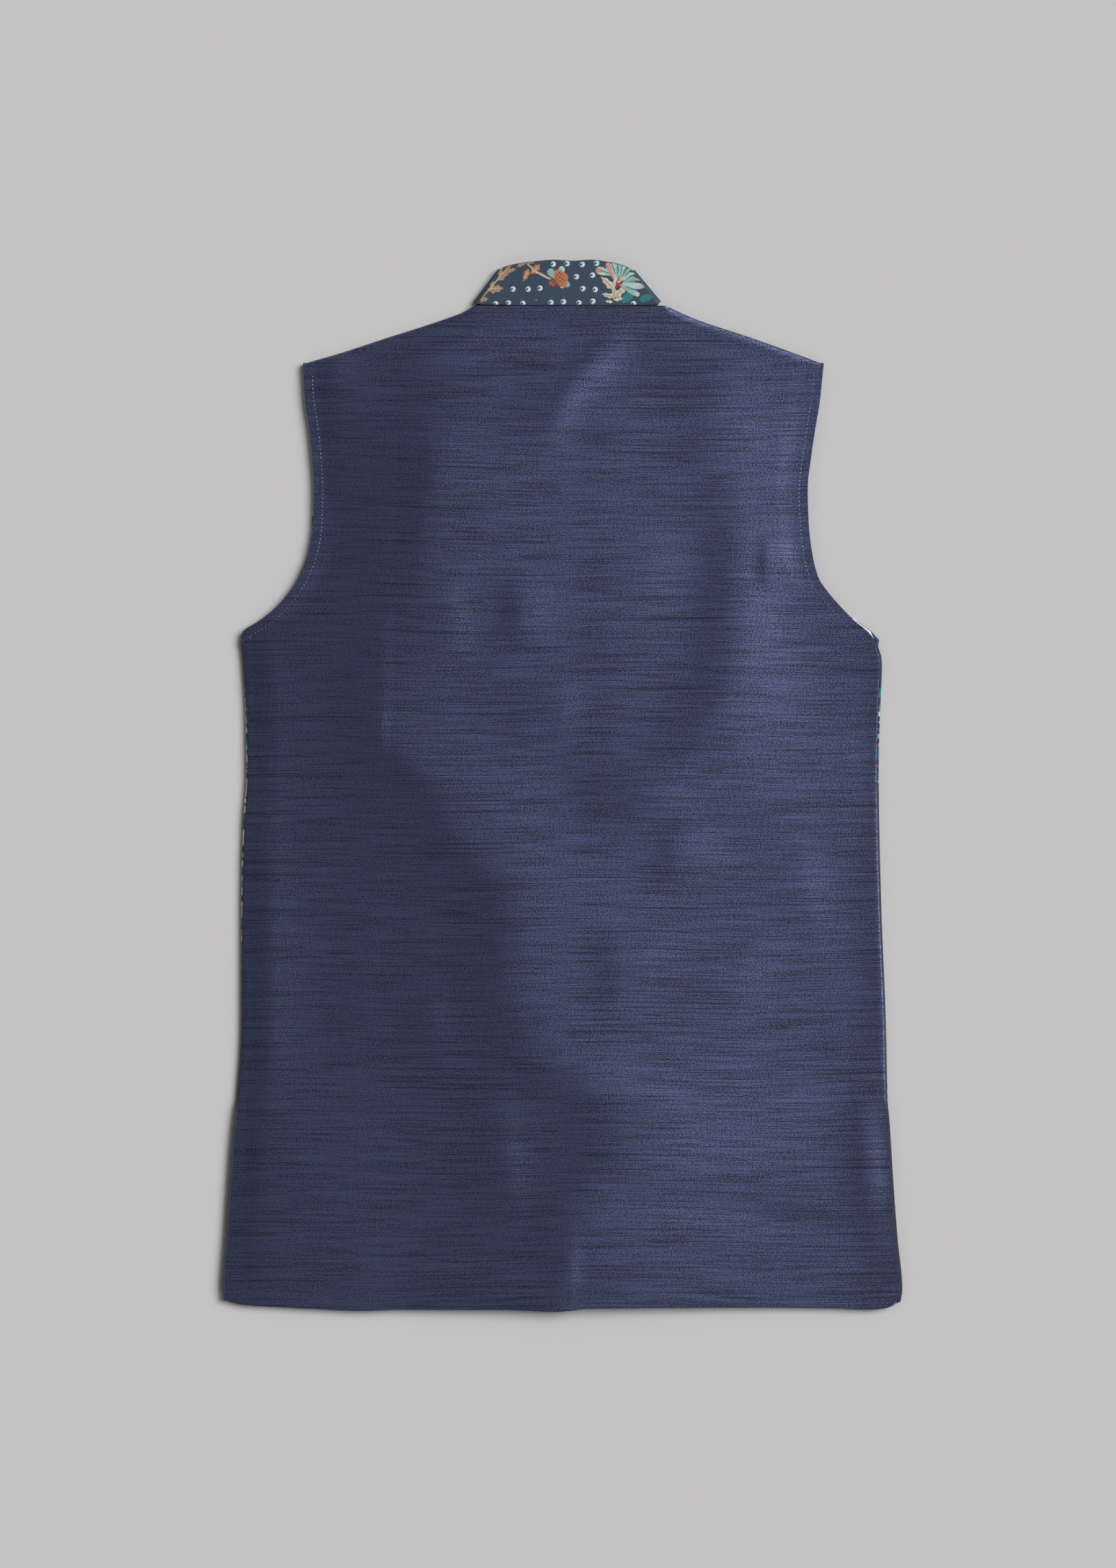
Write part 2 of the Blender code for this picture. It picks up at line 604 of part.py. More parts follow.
def place(name, mesh, parent):
    made = bpy.data.objects.new(name, mesh)
    bpy.context.scene.collection.objects.link(made)
    made.parent = parent
    return made


def unit(vectors):
    return vectors / np.linalg.norm(vectors, axis=-1, keepdims=True)


def directions(grid, axis):
    """The grid's direction along an axis at each point, and the cosine of half the bend there."""
    steps = unit(np.diff(grid, axis=axis))
    first, last = np.take(steps, [0], axis=axis), np.take(steps, [-1], axis=axis)
    summed = np.concatenate([first, steps], axis=axis) + np.concatenate([steps, last], axis=axis)
    return unit(summed), np.linalg.norm(summed, axis=-1, keepdims=True) / 2


def outline_of(rows, columns):
    """The grid's points round its outline, in order."""
    bottom = list(range(columns))
    right = [row * columns + columns - 1 for row in range(1, rows)]
    top = [(rows - 1) * columns + column for column in range(columns - 2, -1, -1)]
    left = [row * columns for row in range(rows - 2, 0, -1)]
    return bottom + right + top + left


def add_cloth(name, grid, thickness, material, parent):
    """A cloth wall round a middle surface that is given as rows of points in millimetres.

    Each cell is cut along its diagonal towards +X and +Y, so that lapped panels bend along the same lines.
    """
    rows, columns = grid.shape[:2]
    across, across_bend = directions(grid, 1)
    along, along_bend = directions(grid, 0)
    half = unit(np.cross(across, along)) * thickness / 2 / (across_bend * along_bend)
    sides = np.concatenate([(grid + half).reshape(-1, 3), (grid - half).reshape(-1, 3)])
    sides[:, 2] = np.maximum(sides[:, 2], 0.0)
    points = (sides - (0.0, MIDDLE_HEIGHT, 0.0)) * MM
    cells = []
    for row in range(rows - 1):
        for column in range(columns - 1):
            here = row * columns + column
            beside, above, opposite = here + 1, here + columns, here + columns + 1
            if grid[row, column, 0] < grid[row, column + 1, 0]:
                cells += [(here, beside, opposite), (here, opposite, above)]
            else:
                cells += [(here, beside, above), (beside, opposite, above)]
    other = rows * columns
    faces = cells + [(other + c, other + b, other + a) for a, b, c in cells]
    rim = outline_of(rows, columns)
    faces += [(b, a, other + a, other + b) for a, b in zip(rim, rim[1:] + rim[:1])]
    mesh = bpy.data.meshes.new(name)
    mesh.from_pydata(points.tolist(), [], faces)
    mesh.materials.append(material)
    mesh.shade_smooth()
    mesh.set_sharp_from_angle(angle=math.radians(CLOTH_SHARP))
    return place(name, mesh, parent)


def add_buttons(material, parent):
    """Five flat round buttons on the floor, under the lapped fronts."""
    bpy.ops.mesh.primitive_cylinder_add(vertices=24, radius=BUTTON_RADIUS * MM, depth=BUTTON_THICKNESS * MM)
    first = bpy.context.object
    mesh = first.data
    bpy.data.objects.remove(first)
    mesh.name = "button"
    mesh.materials.append(material)
    mesh.shade_smooth()
    mesh.set_sharp_from_angle(angle=math.radians(BUTTON_SHARP))
    for number, height in enumerate(BUTTON_HEIGHTS, start=1):
        made = place(f"button_{number}", mesh, parent)
        made.location = (0.0, (height - MIDDLE_HEIGHT) * MM, BUTTON_THICKNESS / 2 * MM)
        rounding = made.modifiers.new("rounding", "BEVEL")
        rounding.width = BUTTON_ROUNDING * MM
        rounding.segments = 1


def main():
    for old in list(bpy.data.objects):
        bpy.data.objects.remove(old, do_unlink=True)
    silk = plain_material("navy_dupion", SILK_COLOUR, 0.5)
    printed = plain_material("printed_brocade", PRINT_COLOUR, 0.6)
    satin = plain_material("lining_satin", LINING_COLOUR, 0.35)
    brass = plain_material("antique_brass", BUTTON_COLOUR, 0.4, metallic=1.0)
    jacket = place("jacket", None, None)
    add_cloth("back", back_grid(), CLOTH, silk, jacket)
    for side in ("left", "right"):
        grid = front_grid(side)
        add_cloth(f"{side}_front", grid, CLOTH, printed, jacket)
        add_cloth(f"{side}_lining", lining_grid(side, grid), LINING_CLOTH, satin, jacket)
    add_cloth("collar", band_grid(), COLLAR_CLOTH, printed, jacket)
    add_buttons(brass, jacket)


main()
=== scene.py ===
"""A sleeveless Nehru jacket laid face down: navy dupion back, printed collar and fronts, lilac satin lining.

The tables give millimetres: x to the right, height up from the hem towards the collar, z up from the floor.
The scene is in metres, in the frame of the solids, with the floor at z = 0.
"""

import math

import bpy
import numpy as np
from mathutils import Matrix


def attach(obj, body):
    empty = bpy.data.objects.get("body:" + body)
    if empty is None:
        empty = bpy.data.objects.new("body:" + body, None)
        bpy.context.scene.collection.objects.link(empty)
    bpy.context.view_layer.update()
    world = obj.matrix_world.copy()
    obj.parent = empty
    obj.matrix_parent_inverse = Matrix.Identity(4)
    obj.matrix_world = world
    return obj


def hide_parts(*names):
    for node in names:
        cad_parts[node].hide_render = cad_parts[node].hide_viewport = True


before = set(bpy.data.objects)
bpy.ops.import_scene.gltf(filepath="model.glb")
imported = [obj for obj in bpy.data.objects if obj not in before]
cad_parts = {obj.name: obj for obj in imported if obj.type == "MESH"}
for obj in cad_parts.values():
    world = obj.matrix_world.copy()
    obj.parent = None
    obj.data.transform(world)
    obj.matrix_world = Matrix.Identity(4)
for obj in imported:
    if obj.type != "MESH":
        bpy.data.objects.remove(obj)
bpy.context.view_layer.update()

MM = 0.001
SIDES = ("left", "right")
CLOTH, COLLAR_CLOTH, LINING_CLOTH = 2.0, 2.4, 1.0
SEAM_GAP = 0.3
MIDDLE_HEIGHT = 384.85  # halfway from the hem to the top of the collar, where the frame has its origin
VENT_TOP = (144.0, 156.0)  # the vent's end, from open to sewn
UNDERARM = (485.0, 490.5)  # the side seam's end, from sewn to open
BACK_NECK, FRONT_NECK = 737.3, 638.0
NECK_LEFT, NECK_RIGHT = -65.0, 73.5
SHOULDER_TIP = 695.5
# Spacing of the points of the back, of what lies below it, and of the collar.
PANEL_STEP, UNDER_STEP, BAND_STEP = 3.0, 6.0, 1.2

# The outline as it lies, at its two side edges: below the underarm the side seams, above it the armholes.
SIDE_COLUMNS = ("height", "left", "right")
SIDE_ROWS = (
    (0, -248.6, 248.6),
    (9, -250, 250),
    (52, -247.5, 246.5),
    (92, -245, 243.5),
    (132, -242, 241),
    (153, -239.5, 239.5),
    (214, -236, 238),
    (294, -236, 234.8),
    (355, -234.8, 233.3),
    (395, -232.3, 232.8),
    (436, -232.8, 233.8),
    (476, -235, 235.3),
    (488, -236, 231.5),
    (496.5, -235.5, 226),
    (506.5, -221.5, 214),
    (517, -209, 204),
    (527, -200.5, 195.4),
    (537, -194, 188.6),
    (557, -186, 183.6),
    (577, -182.8, 181.3),
    (602, -182.2, 180.5),
    (628, -183.8, 183.3),
    (648, -185.8, 186.3),
    (668, -188.8, 189.6),
    (SHOULDER_TIP, -190.4, 192.2),
)
# Shoulders and back neck: shares of the width from the left, and of the climb from shoulder tip to neck.
TOP_COLUMNS = ("share", "climb")
TOP_ROWS = (
    (0, 0),
    (0.065, 0.17),
    (0.16, 0.45),
    (0.24, 0.68),
    (0.30, 0.87),
    (0.335, 1),
    (0.695, 1),
    (0.705, 0.97),
    (0.76, 0.76),
    (0.86, 0.46),
    (0.95, 0.17),
    (1, 0),
)
HEM_COLUMNS = ("share", "drop")
HEM_ROWS = (
    (0, -7),
    (0.03, -3),
    (0.08, -1.5),
    (0.14, 0),
    (0.205, 1.3),
    (0.26, 0.3),
    (0.42, 0.3),
    (0.492, 1.5),
    (0.54, -0.8),
    (0.80, -1.2),
    (0.90, -0.5),
    (0.955, 0.5),
    (0.985, -1.5),
    (1, -8),
)
HEM_FADE = 60.0

# The panels' rows, from the height at the side to that at the back's middle and at the front's inner edge.
# Up to the neck a front reaches past the centre. From there its rows end round the neck, by these degrees.
PANEL_COLUMNS = ("side", "middle", "front", "reach", "neck_turn")
PANEL_ROWS = (
    (0, 0, 0.8, 20, 0),
    (9, 9, 9, 20, 0),
    (425, 425, 416, 20, 0),
    (458, 458, 450, 20, 0),
    (476, 477.5, 474, 20, 0),
    (498, 509, 521, 20, 0),
    (528, 550, 578, 20, 0),
    (558, 585, 606, 20, 0),
    (596, 624, 631, 20, 0),
    (609.5, 640, 636.8, 14, 0),
    (616, 650, FRONT_NECK, 0, 8),
    (630, 666, FRONT_NECK, 0, 22),
    (646, 684, FRONT_NECK, 0, 38),
    (662, 702, FRONT_NECK, 0, 54),
    (678, 719.5, FRONT_NECK, 0, 71),
    (SHOULDER_TIP, BACK_NECK, FRONT_NECK, 0, 90),
)
NECK_BLEND = 54.0  # degrees of the neck's turn over which a front's columns leave the lap's spacing

# The main fold: one long crest wanders up the back, and the cloth falls off from it to both sides.
CREST_COLUMNS = ("height", "x", "rise", "peak", "softness")
CREST_ROWS = (
    (0, 8, 4.5, 0.4, 0.06),
    (28, 10, 6.5, 1.2, 0.06),
    (78, 12, 8, 1.6, 0.06),
    (112, 40, 9, 1.2, 0.08),
    (146, 36, 9.2, 0.8, 0.10),
    (190, -20, 8.7, 1, 0.08),
    (230, -36, 8.7, 1.8, 0.06),
    (300, -40, 8.7, 2, 0.06),
    (341, -72, 8.7, 2, 0.06),
    (381, -94, 8.7, 2, 0.06),
    (422, -128, 8.7, 1.4, 0.08),
    (480, -126, 10.2, 0.4, 0.14),
    (560, -106, 11.2, 0.6, 0.11),
    (620, -99, 11, 0.6, 0.11),
    (670, -95, 6.6, 0.3, 0.24),
    (705, -92, 3.6, 0.2, 0.24),
    (737.3, -90, 0.4, 0, 0.24),
)
PEAK_WIDTHS = (34.0, 85.0)  # how far the peak along the crest reaches to its left and right
FLANK_START = 0.2  # the share of a flank over which it leaves the side's edge softly
EDGE_FLAT = 14.0  # the width along the sides that the main fold leaves flat
SHOULDER_REACH = 26.0  # how far below the shoulder the main fold has its whole rise

# The back's soft folds and creases: x, height, half the length, left width, right width, turn and rise.
FOLD_ROWS = (
    (127, 526, 68, 27, 32, -3, 2.2),
    (112, 640, 60, 40, 50, -6, 2.2),
    (106, 420, 62, 34, 80, -32, 2.8),
    (50, 384, 26, 34, 40, -10, 1.8),
    (86, 334, 26, 16, 34, -22, 1.1),
    (44, 250, 30, 18, 60, 4, 1.3),
    (128, 250, 46, 44, 26, -12, 0.9),
    (176, 300, 42, 40, 20, 14, 0.9),
    (-30, 510, 20, 12, 24, 0, 1.3),
    (-84, 506, 26, 26, 15, 8, 0.9),
    (-2, 443, 22, 32, 14, -6, 0.9),
    (151, 549, 15, 6, 22, 0, 0.8),
    (26, 700, 46, 12, 15, -34, 1.3),
    (-2, 668, 32, 28, 13, -20, 1.1),
    (-97, 214, 26, 20, 12, 10, 0.8),
    (-42, 108, 44, 24, 13, 6, 1.1),
    (4, 22, 26, 26, 8, 0, 1.3),
    (145, 68, 44, 11, 10, 86, -1),
    (238, 112, 44, 24, 14, 0, 1.6),
    (-131, 500, 110, 26, 4.5, -0.5, 0.35),
    (-132, 568, 15, 15, 6, 0, 0.6),
    (-135, 430, 13, 14, 6, 0, 0.6),
    (-185, 96, 100, 46, 60, -6, 1.2),
    (-166, 640, 66, 14, 34, 4, 1.9),
    (-218, 446, 54, 12, 34, 0, 1.8),
    (-222, 250, 130, 12, 26, 0, 1.4),
)
FOLD_MARGIN = 22.0  # how far in from the sides the folds have their whole rise
HEM_SHARE = 0.4  # of the folds' rise that is left at the hem
LINING_SHARE = 0.25  # of the back's rise that the lining puffs up below it

BUTTON_HEIGHTS = (606.0, 507.0, 402.0, 297.0, 192.0)
BUTTON_THICKNESS = 2.4
LIFT = BUTTON_THICKNESS + SEAM_GAP  # how far the fronts stand up over a button
LIFT_SAG = 0.4  # the share of the lift that is left halfway between two buttons
LIFT_TOP, LIFT_FOOT = 10.0, 20.0
LIFT_START, LIFT_END = (90.0, 150.0), (621.0, 630.0)
LIFT_FLAT, LIFT_SAGGED = 14.0, 40.0
LAP_EDGE, LAP_FOOT = 26.0, 34.0
LAP_CORNER, LAP_SPREAD = 636.0, 5.5
LAP_END = (642.0, 662.0)
LAP_WIDTHS = {"left": 40.0, "right": 54.0}

FRONT_Z = CLOTH / 2
LAP_STEP = CLOTH + SEAM_GAP
LINING_Z = CLOTH + SEAM_GAP + LINING_CLOTH / 2
BACK_Z = CLOTH + SEAM_GAP + LINING_CLOTH + SEAM_GAP + CLOTH / 2
PLACKET_RISE = CLOTH + SEAM_GAP + LIFT - LINING_CLOTH
PLACKET_HALF, PLACKET_FOOT = 24.0, 165.0
PLACKET_END, PLACKET_LOSS = (645.0, 705.0), 0.9
FOLD_END, FOLD_HEM = (690.0, 735.0), 60.0
ROLL_RADIUS = (BACK_Z - FRONT_Z) / 2
ROLL_REACH = ROLL_RADIUS + CLOTH / 2
ROLL_SHARES = np.linspace(0, 1, 8)
SEAM_TURN = 9.0
SHOULDER_SEAM = -6.0
SHOULDER_END = (0.93, 0.99)  # shares of the climb over which the shoulder's roll turns flat
TOP_ROOM = 1.5 * ROLL_REACH  # kept free below the shoulder tip for the roll
EDGE_SHARE, EDGE_ANGLE = 0.3, 55.0  # a sheet's soft edge, as a share of its thickness
# Painted shade: the dark edge along the back's rolled sides is this wide.
SHADED_EDGE_WIDTH = 1.9  # how much of the back's rolled sides is dark
LINING_MARGIN = 0.8
LINING_TUCK = 6.0

# The back's edge on the side's roll, in degrees above its outermost line. A high one shows the front.
SEAM_COLUMNS = ("height", "left", "right")
SEAM_ROWS = (
    (0, 5, 5),
    (88, 5, 5),
    (110, 5, 45),
    (142, 5, 40),
    (186, 10, 5),
    (250, 30, 5),
    (300, 55, 5),
    (360, 60, 10),
    (400, 55, 50),
    (440, 50, 70),
    (470, 15, 75),
    (500, 5, 60),
)
# How far the front's edge lies outside the back's, along the vent and the armhole.
SCYE_COLUMNS = ("height", "left", "right")
SCYE_ROWS = (
    (0, -0.8, -0.8),
    (480, -0.8, 0.5),
    (492, -0.6, 3),
    (500, -1, 3),
    (510, -2, 0),
    (540, -3, -4),
    (565, -1, -5),
    (579, 1.4, -5),
    (592, -1.5, -5),
    (640, -3, -3),
    (SHOULDER_TIP, -1, -1),
)

BAND_HEIGHT, BAND_CORNER, BAND_LEAN = 33.0, 12.0, 45.0
BAND_Z, BAND_BACK_Z = COLLAR_CLOTH / 2, BACK_Z + 0.4
BAND_SEAM = 0.6
BAND_TURNS = (0.4, 2.7, 8.0, 22.0, 38.0, 54.0, 71.0)
# The collar's back half: x and height of its foot, x and height of its top, and z.
BACK_BAND_ROWS = (
    (-58, 738, -42.5, 765.8, BAND_BACK_Z),
    (-48, 738, -33, 768.2, BAND_BACK_Z),
    (-30, 737.6, -20, 769.9, BAND_BACK_Z + 0.3),
    (-12, 737.6, -6, 770.9, BAND_BACK_Z + 0.5),
    (6, 737.6, 8, 770.2, BAND_BACK_Z + 0.5),
    (24, 737.6, 21, 771, BAND_BACK_Z + 0.5),
    (42, 737.6, 33, 769.6, BAND_BACK_Z + 0.3),
    (58, 737.8, 43, 767.6, BAND_BACK_Z),
    (67, 738, 49.5, 764.8, BAND_BACK_Z),
)
BAND_FOLDS = {"left": ((-62.6, 738.8), (-45.6, 763.4)), "right": ((70.2, 738.8), (52.0, 762.6))}
BAND_PINCH = 0.35  # how round the fold is at the band's top, beside its foot
BAND_FOLD_TURNS = (-75.0, -50.0, -25.0, 0.0, 25.0, 50.0, 75.0)

# The armholes' topstitching.
STITCH_STEP, STITCH_INSET = 3.0, 6.35
STITCH_SIZE = (1.5, 0.6, 0.5)  # length, width and height of the thread that shows
STITCH_HEIGHTS = (492.5, 688.0)
STITCH_JITTER, STITCH_TURN, STITCH_SEEDS = 0.25, 9.0, {"left": 5, "right": 9}
STITCH_LOW, STITCH_FADE = (515.0, 560.0), 0.35  # towards the underarm the thread sinks into the cloth
SEAM_LINE_STEP = 0.25  # spacing of the points that the armhole's line is measured from

# The print's inks, and its shapes: each starts at a place, turned by degrees, and bends off to its left.
INKS = {
    "tan": "#a08468",
    "rust": "#b9784a",
    "brick": "#7d3b33",
    "pink": "#c79089",
    "aqua": "#86aeaa",
    "pale": "#aec4c0",
    "shade": "#4d6a6e",
    "teal": "#1d7478",
    "cream": "#c9c1ac",
    "rib": "#6d675e",
    "red": "#a8202c",
    "pearl": "#d3d8e4",
    "ground": "#22374b",
}
# Each row: form, x, height, turn, length, width, bend and ink.
BRANCH_ROWS = (
    ("stem", 0, 0, 46, 43, 1.5, 0.06, "tan"),
    ("frond", 2, 3, 14, 8, 3.8, -0.12, "tan"),
    ("frond", 4.5, 6, 92, 9, 3.4, 0.15, "tan"),
    ("frond", 9, 10.5, 12, 12, 6, -0.1, "tan"),
    ("frond", 11.5, 13, 84, 11, 3.8, 0.12, "tan"),
    ("frond", 15.5, 17.5, 30, 13, 4.4, 0.18, "tan"),
    ("frond", 18, 20.5, 80, 9, 3.6, 0.1, "tan"),
    ("frond", 22.5, 24, 10, 8, 3, 0.12, "tan"),
    ("vein", 9.5, 11, 12, 9, 0.5, -0.1, "cream"),
    ("vein", 11.5, 13.5, 84, 8, 0.5, 0.12, "cream"),
    ("vein", 16, 18, 30, 10, 0.5, 0.18, "rust"),
    ("vein", 2, 2, 46, 34, 0.5, 0.06, "cream"),
)
BLOSSOM_ROWS = (
    ("stem", 0, 1, -52, 26, 1.6, 0.34, "tan"),
    ("frond", 1, 0, 200, 8, 3.2, 0.2, "tan"),
    ("frond", 1.5, 0, -6, 6, 2.8, 0.1, "tan"),
    ("frond", 2.5, -5, 258, 10, 4.2, -0.2, "rust"),
    ("frond", 4.5, -8.5, 40, 9.5, 5.6, 0.1, "rust"),
    ("vein", 5, -8.2, 40, 7, 0.5, 0.1, "cream"),
    ("vein", 2.4, -6, 258, 7, 0.5, -0.2, "cream"),
    ("vein", 1.5, -1, -52, 22, 0.5, 0.34, "cream"),
    ("petal", 24, -13, 132, 10, 6.4, 0, "aqua"),
    ("petal", 26.5, -11.5, 84, 8.4, 5.4, 0, "pale"),
    ("petal", 27, -12.5, -45, 8, 5, 0, "aqua"),
    ("petal", 26.5, -13, -76, 6.6, 4.6, 0, "pale"),
    ("petal", 22, -16, 66, 11, 8.6, 0, "rust"),
    ("petal", 21.5, -14.5, 22, 11, 7.8, 0, "rust"),
    ("petal", 22.5, -15, -14, 8.6, 6, 0, "rust"),
    ("disc", 17.2, -15.8, 10, 6.4, 5.8, 0, "brick"),
    ("vein", 21.6, -12.6, 50, 7.4, 0.5, 0, "brick"),
    ("vein", 22.4, -15, 50, 9.6, 0.5, 0, "brick"),
    ("vein", 23.8, -17, 50, 9, 0.5, 0, "brick"),
    ("vein", 26.4, -17.6, 50, 6.6, 0.5, 0, "brick"),
    ("vein", 23.6, -6.6, -40, 6.8, 0.5, 0, "brick"),
    ("vein", 22.4, -8.4, -40, 9.2, 0.5, 0, "brick"),
    ("vein", 21.6, -10.8, -40, 9.4, 0.5, 0, "brick"),
    ("vein", 21.4, -13.2, -40, 6.6, 0.5, 0, "brick"),
    ("vein", 18, -17, 50, 5, 0.4, 0, "rust"),
    ("vein", 19.8, -18.2, 50, 4.6, 0.4, 0, "rust"),
    ("vein", 17.8, -14.6, -40, 5, 0.4, 0, "rust"),
)
FAN_ROWS = (
    ("disc", 4.6, -13.4, 42, 11.5, 6, 0, "teal"),
    ("disc", 17.4, -12, 20, 10, 5.4, 0, "teal"),
    ("frond", -1.3, -4.2, 130, 13.5, 5.2, 0.1, "cream"),
    ("frond", -1.3, -9.4, 34, 11.5, 5.2, 0.1, "cream"),
    ("frond", -1.3, -12, 92, 12, 3, 0, "cream"),
    ("frond", -1.3, -10, 158, 9.5, 3.4, 0.1, "cream"),
    ("frond", -1.3, -12, 14, 7, 2.8, 0, "cream"),
    ("frond", -2, -13.4, 172, 6, 2.2, 0, "cream"),
    ("vein", -1.3, -4.2, 130, 11, 0.45, 0.1, "rib"),
    ("vein", -1.3, -9.4, 34, 9.5, 0.45, 0.1, "rib"),
    ("vein", -1.3, -10, 158, 8, 0.45, 0.1, "rib"),
    ("vein", -1.2, -14, 90, 12, 0.45, 0, "rib"),
    ("petal", -2, 7, 164, 13, 7, 0, "pale"),
    ("petal", 1, 0.5, 116, 17, 5.6, 0, "pink"),
    ("petal", 1, 0.5, 101, 16.5, 5, 0, "pale"),
    ("petal", 1.5, 0.5, 86, 16.5, 5, 0, "aqua"),
    ("petal", 1.5, 0.5, 71, 16.5, 5, 0, "pale"),
    ("petal", 2, 0.5, 56, 16.5, 5, 0, "aqua"),
    ("petal", 2, 0.5, 39, 16.5, 5.2, 0, "pale"),
    ("petal", 2, 0, 19, 17, 5.6, 0, "aqua"),
    ("petal", 2, 0, -6, 18.5, 5.6, 0, "pale"),
    ("petal", 2.5, -0.5, -28, 16, 5.2, 0, "aqua"),
    ("petal", -9.4, 9.2, 168, 5.4, 4.6, 0, "pink"),
    ("petal", 15, 5.6, 20, 4, 4.2, 0, "pink"),
    ("petal", 17, -1.4, -6, 4.2, 4, 0, "pink"),
    ("petal", 13.6, -6.4, -28, 4.2, 4, 0, "cream"),
    ("vein", -2.6, 7.4, 164, 10, 0.8, 0, "shade"),
    ("vein", 0, 6.5, 109, 10, 0.8, 0, "shade"),
    ("vein", 1.8, 6.5, 93, 10, 0.8, 0, "shade"),
    ("vein", 3.2, 6, 78, 10, 0.8, 0, "shade"),
    ("vein", 4.6, 5.4, 63, 10.5, 0.8, 0, "shade"),
    ("vein", 6, 4.8, 47, 10.5, 0.8, 0, "shade"),
    ("vein", 7, 3.4, 28, 11, 0.8, 0, "shade"),
    ("vein", 7.6, 1, 7, 11, 0.8, 0, "shade"),
    ("vein", 7.6, -2.2, -17, 10, 0.8, 0, "shade"),
    ("petal", -1.6, -3.4, 76, 9, 3.6, 0, "cream"),
    ("frond", -0.2, -2.4, 38, 8.6, 2.4, 0, "red"),
    ("vein", 0, -0.5, 66, 7, 0.9, 0, "red"),
)
# A crescent: a pearl disc with an aqua rim, and a notch of the ground's colour at its lower left.
CRESCENT_ROWS = (
    ("disc", -2.1, -0.15, 0, 4, 4, 0, "aqua"),
    ("disc", -1.8, 0.15, 0, 3.7, 3.7, 0, "pearl"),
    ("disc", -1.75, -0.75, 35, 2.1, 1.5, 0.2, "ground"),
)
MOTIFS = {"branch": BRANCH_ROWS, "blossom": BLOSSOM_ROWS, "fan": FAN_ROWS, "crescent": CRESCENT_ROWS}
OUTLINE_POINTS = 9  # along each side of a shape
FROND_TEETH = 3.0
# A shape's thickness, how far it stands over the cloth, and over the shape before it.
INK_THICKNESS, INK_RISE, INK_STEP = 0.12, 0.02, 0.003
# The motifs on the collar's back half, and one repeat of the fronts' print.
# Each row: motif, x, height, turn and size.
COLLAR_ROWS = (
    ("branch", -63.8, 738.2, 0, 1),
    ("blossom", -27.4, 769.4, 0, 1),
    ("fan", 39.4, 753.2, 0, 1),
)
REPEAT_ROWS = (
    ("fan", 0, 0, 10, 1.15),
    ("branch", 28, 14, 20, 0.9),
    ("blossom", 6, 70, -20, 1.1),
    ("fan", 50, 93, 150, 1.1),
)
REPEAT_STEP = (96.0, 118.0)
REPEAT_DROP = 0.5  # the share of a repeat's height by which every second column drops
REPEATS_ACROSS, REPEATS_UP = (-4, 5), (-1, 8)  # first and one past the last
PRINT_MARGIN = 5.0
PRINT_ENDS = {"left": 17.0, "right": -24.0}  # how far past the centre each front's print goes
PRINT_NECK = 1.12  # the print's distance from the front neck's middle, in sizes of the neck
COLLAR_INSET = (0.8, 0.3)  # what the print leaves free at the collar's foot and top
CRESCENT_SPACE, CRESCENT_JITTER, CRESCENT_ROOM = (10.2, 9.6), 1.1, 3.2
CRESCENTS_ACROSS, CRESCENTS_UP, CRESCENT_SHIFT = (-60.0, 70.0), (BACK_NECK + 2.2, 772.0), 3.5
CRESCENT_RADIUS, NOTCH_RADIUS, NOTCH_AT = 2.0, 0.85, (-0.8, -0.35)
CRESCENT_REPEAT = 9.7  # the spacing of the crescents in the printed cloth itself
CRESCENT_RIM, CRESCENT_EDGE = (-1.8, -0.4), 0.2  # where the aqua rim ends, and how soft the edges are
# Bits of the print show past this distance from the centre, up to this height, each about this wide.
BITS_START, BITS_TOP, BIT_SIZE = 226.0, 456.0, 4.0
BITS_Z = CLOTH + 0.1  # they lie above the flat part of the fronts
BIT_INKS = ((0.2, "teal"), (0.42, "ground"), (0.55, "pink"), (0.68, "tan"), (0.78, "cream"), (0.88, "aqua"))

# The silk's yarns. A pattern is a length, a width, its detail and its seed. The rows' shares are added.
YARN_DRIFT = (5.0, 0.006)  # how often the yarns drift off the straight, and how far
YARN = (50.0, 0.9, 3.0, 7.0)
YARN_ROWS = (
    ("pulled", (60.0, 7.0, 2.0, 19.0), 0.35),
    ("flat", (1.2, 0.9, 2.0, 3.0), 2.0),
    ("flat", (0.8, 14.0, 1.0, 13.0), 0.25),
)
YARN_RANGE = (1.42, 2.2)  # the sums that give the darkest and the brightest yarn
YARN_SHINE = (0.45, 0.98)  # how metallic the two are
# The slubs' patterns, and the values from which and at which they are whole.
SLUB_ROWS = (
    ((150.0, 1.0, 2.0, 0.0), (0.57, 0.68)),
    ((45.0, 0.9, 2.0, 31.0), (0.6, 0.72)),
)
SLUB_DARK, SLUB_MATT, SLUB_HEIGHT = 0.7, -0.6, -1.2  # what a slub adds to darkness, shine and relief
# The painted shade along the sides, which darkens the silk's colour: from how far out, where in full, and
# how dark beside the rest.
PAINTED_SHADE_START, PAINTED_SHADE_END, PAINTED_SIDE_SHADE = 208.0, 228.0, 0.82

BUTTON_RADIUS, BUTTON_SIDES, BUTTON_RIM, BUTTON_EDGE = 7.5, 48, 1.3, 0.25
BUTTON_RINGS = ((0.25, 0.45), (1.6, -0.21), (2.4, -0.14))  # each ring's width, and how far its inside moves

# The photograph's view: from straight above, with this point of the floor's plane in its middle.
VIEW_MIDDLE = (-3.03, 0.97)
VIEW_LONG_SIDE = 1152.4
VIEW_PLANE = 5.0  # the height that this size is measured at
CAMERA_DISTANCE, SENSOR = 3.2, 36.0
FLOOR_SIZE, FLOOR_Z = 12.0, -0.2
KEY_FROM = (0.78, 0.42, 1.0)  # the direction that the key light comes from
KEY_STRENGTH, KEY_BREADTH = 3.0, 40.0
WALL_LIGHT, CEILING_LIGHT = 0.42, 0.05  # the room's own light, at the level of the floor and overhead


def eased(share):
    """0 to 1 with soft ends."""
    share = np.clip(share, 0.0, 1.0)
    return share * share * (3.0 - 2.0 * share)


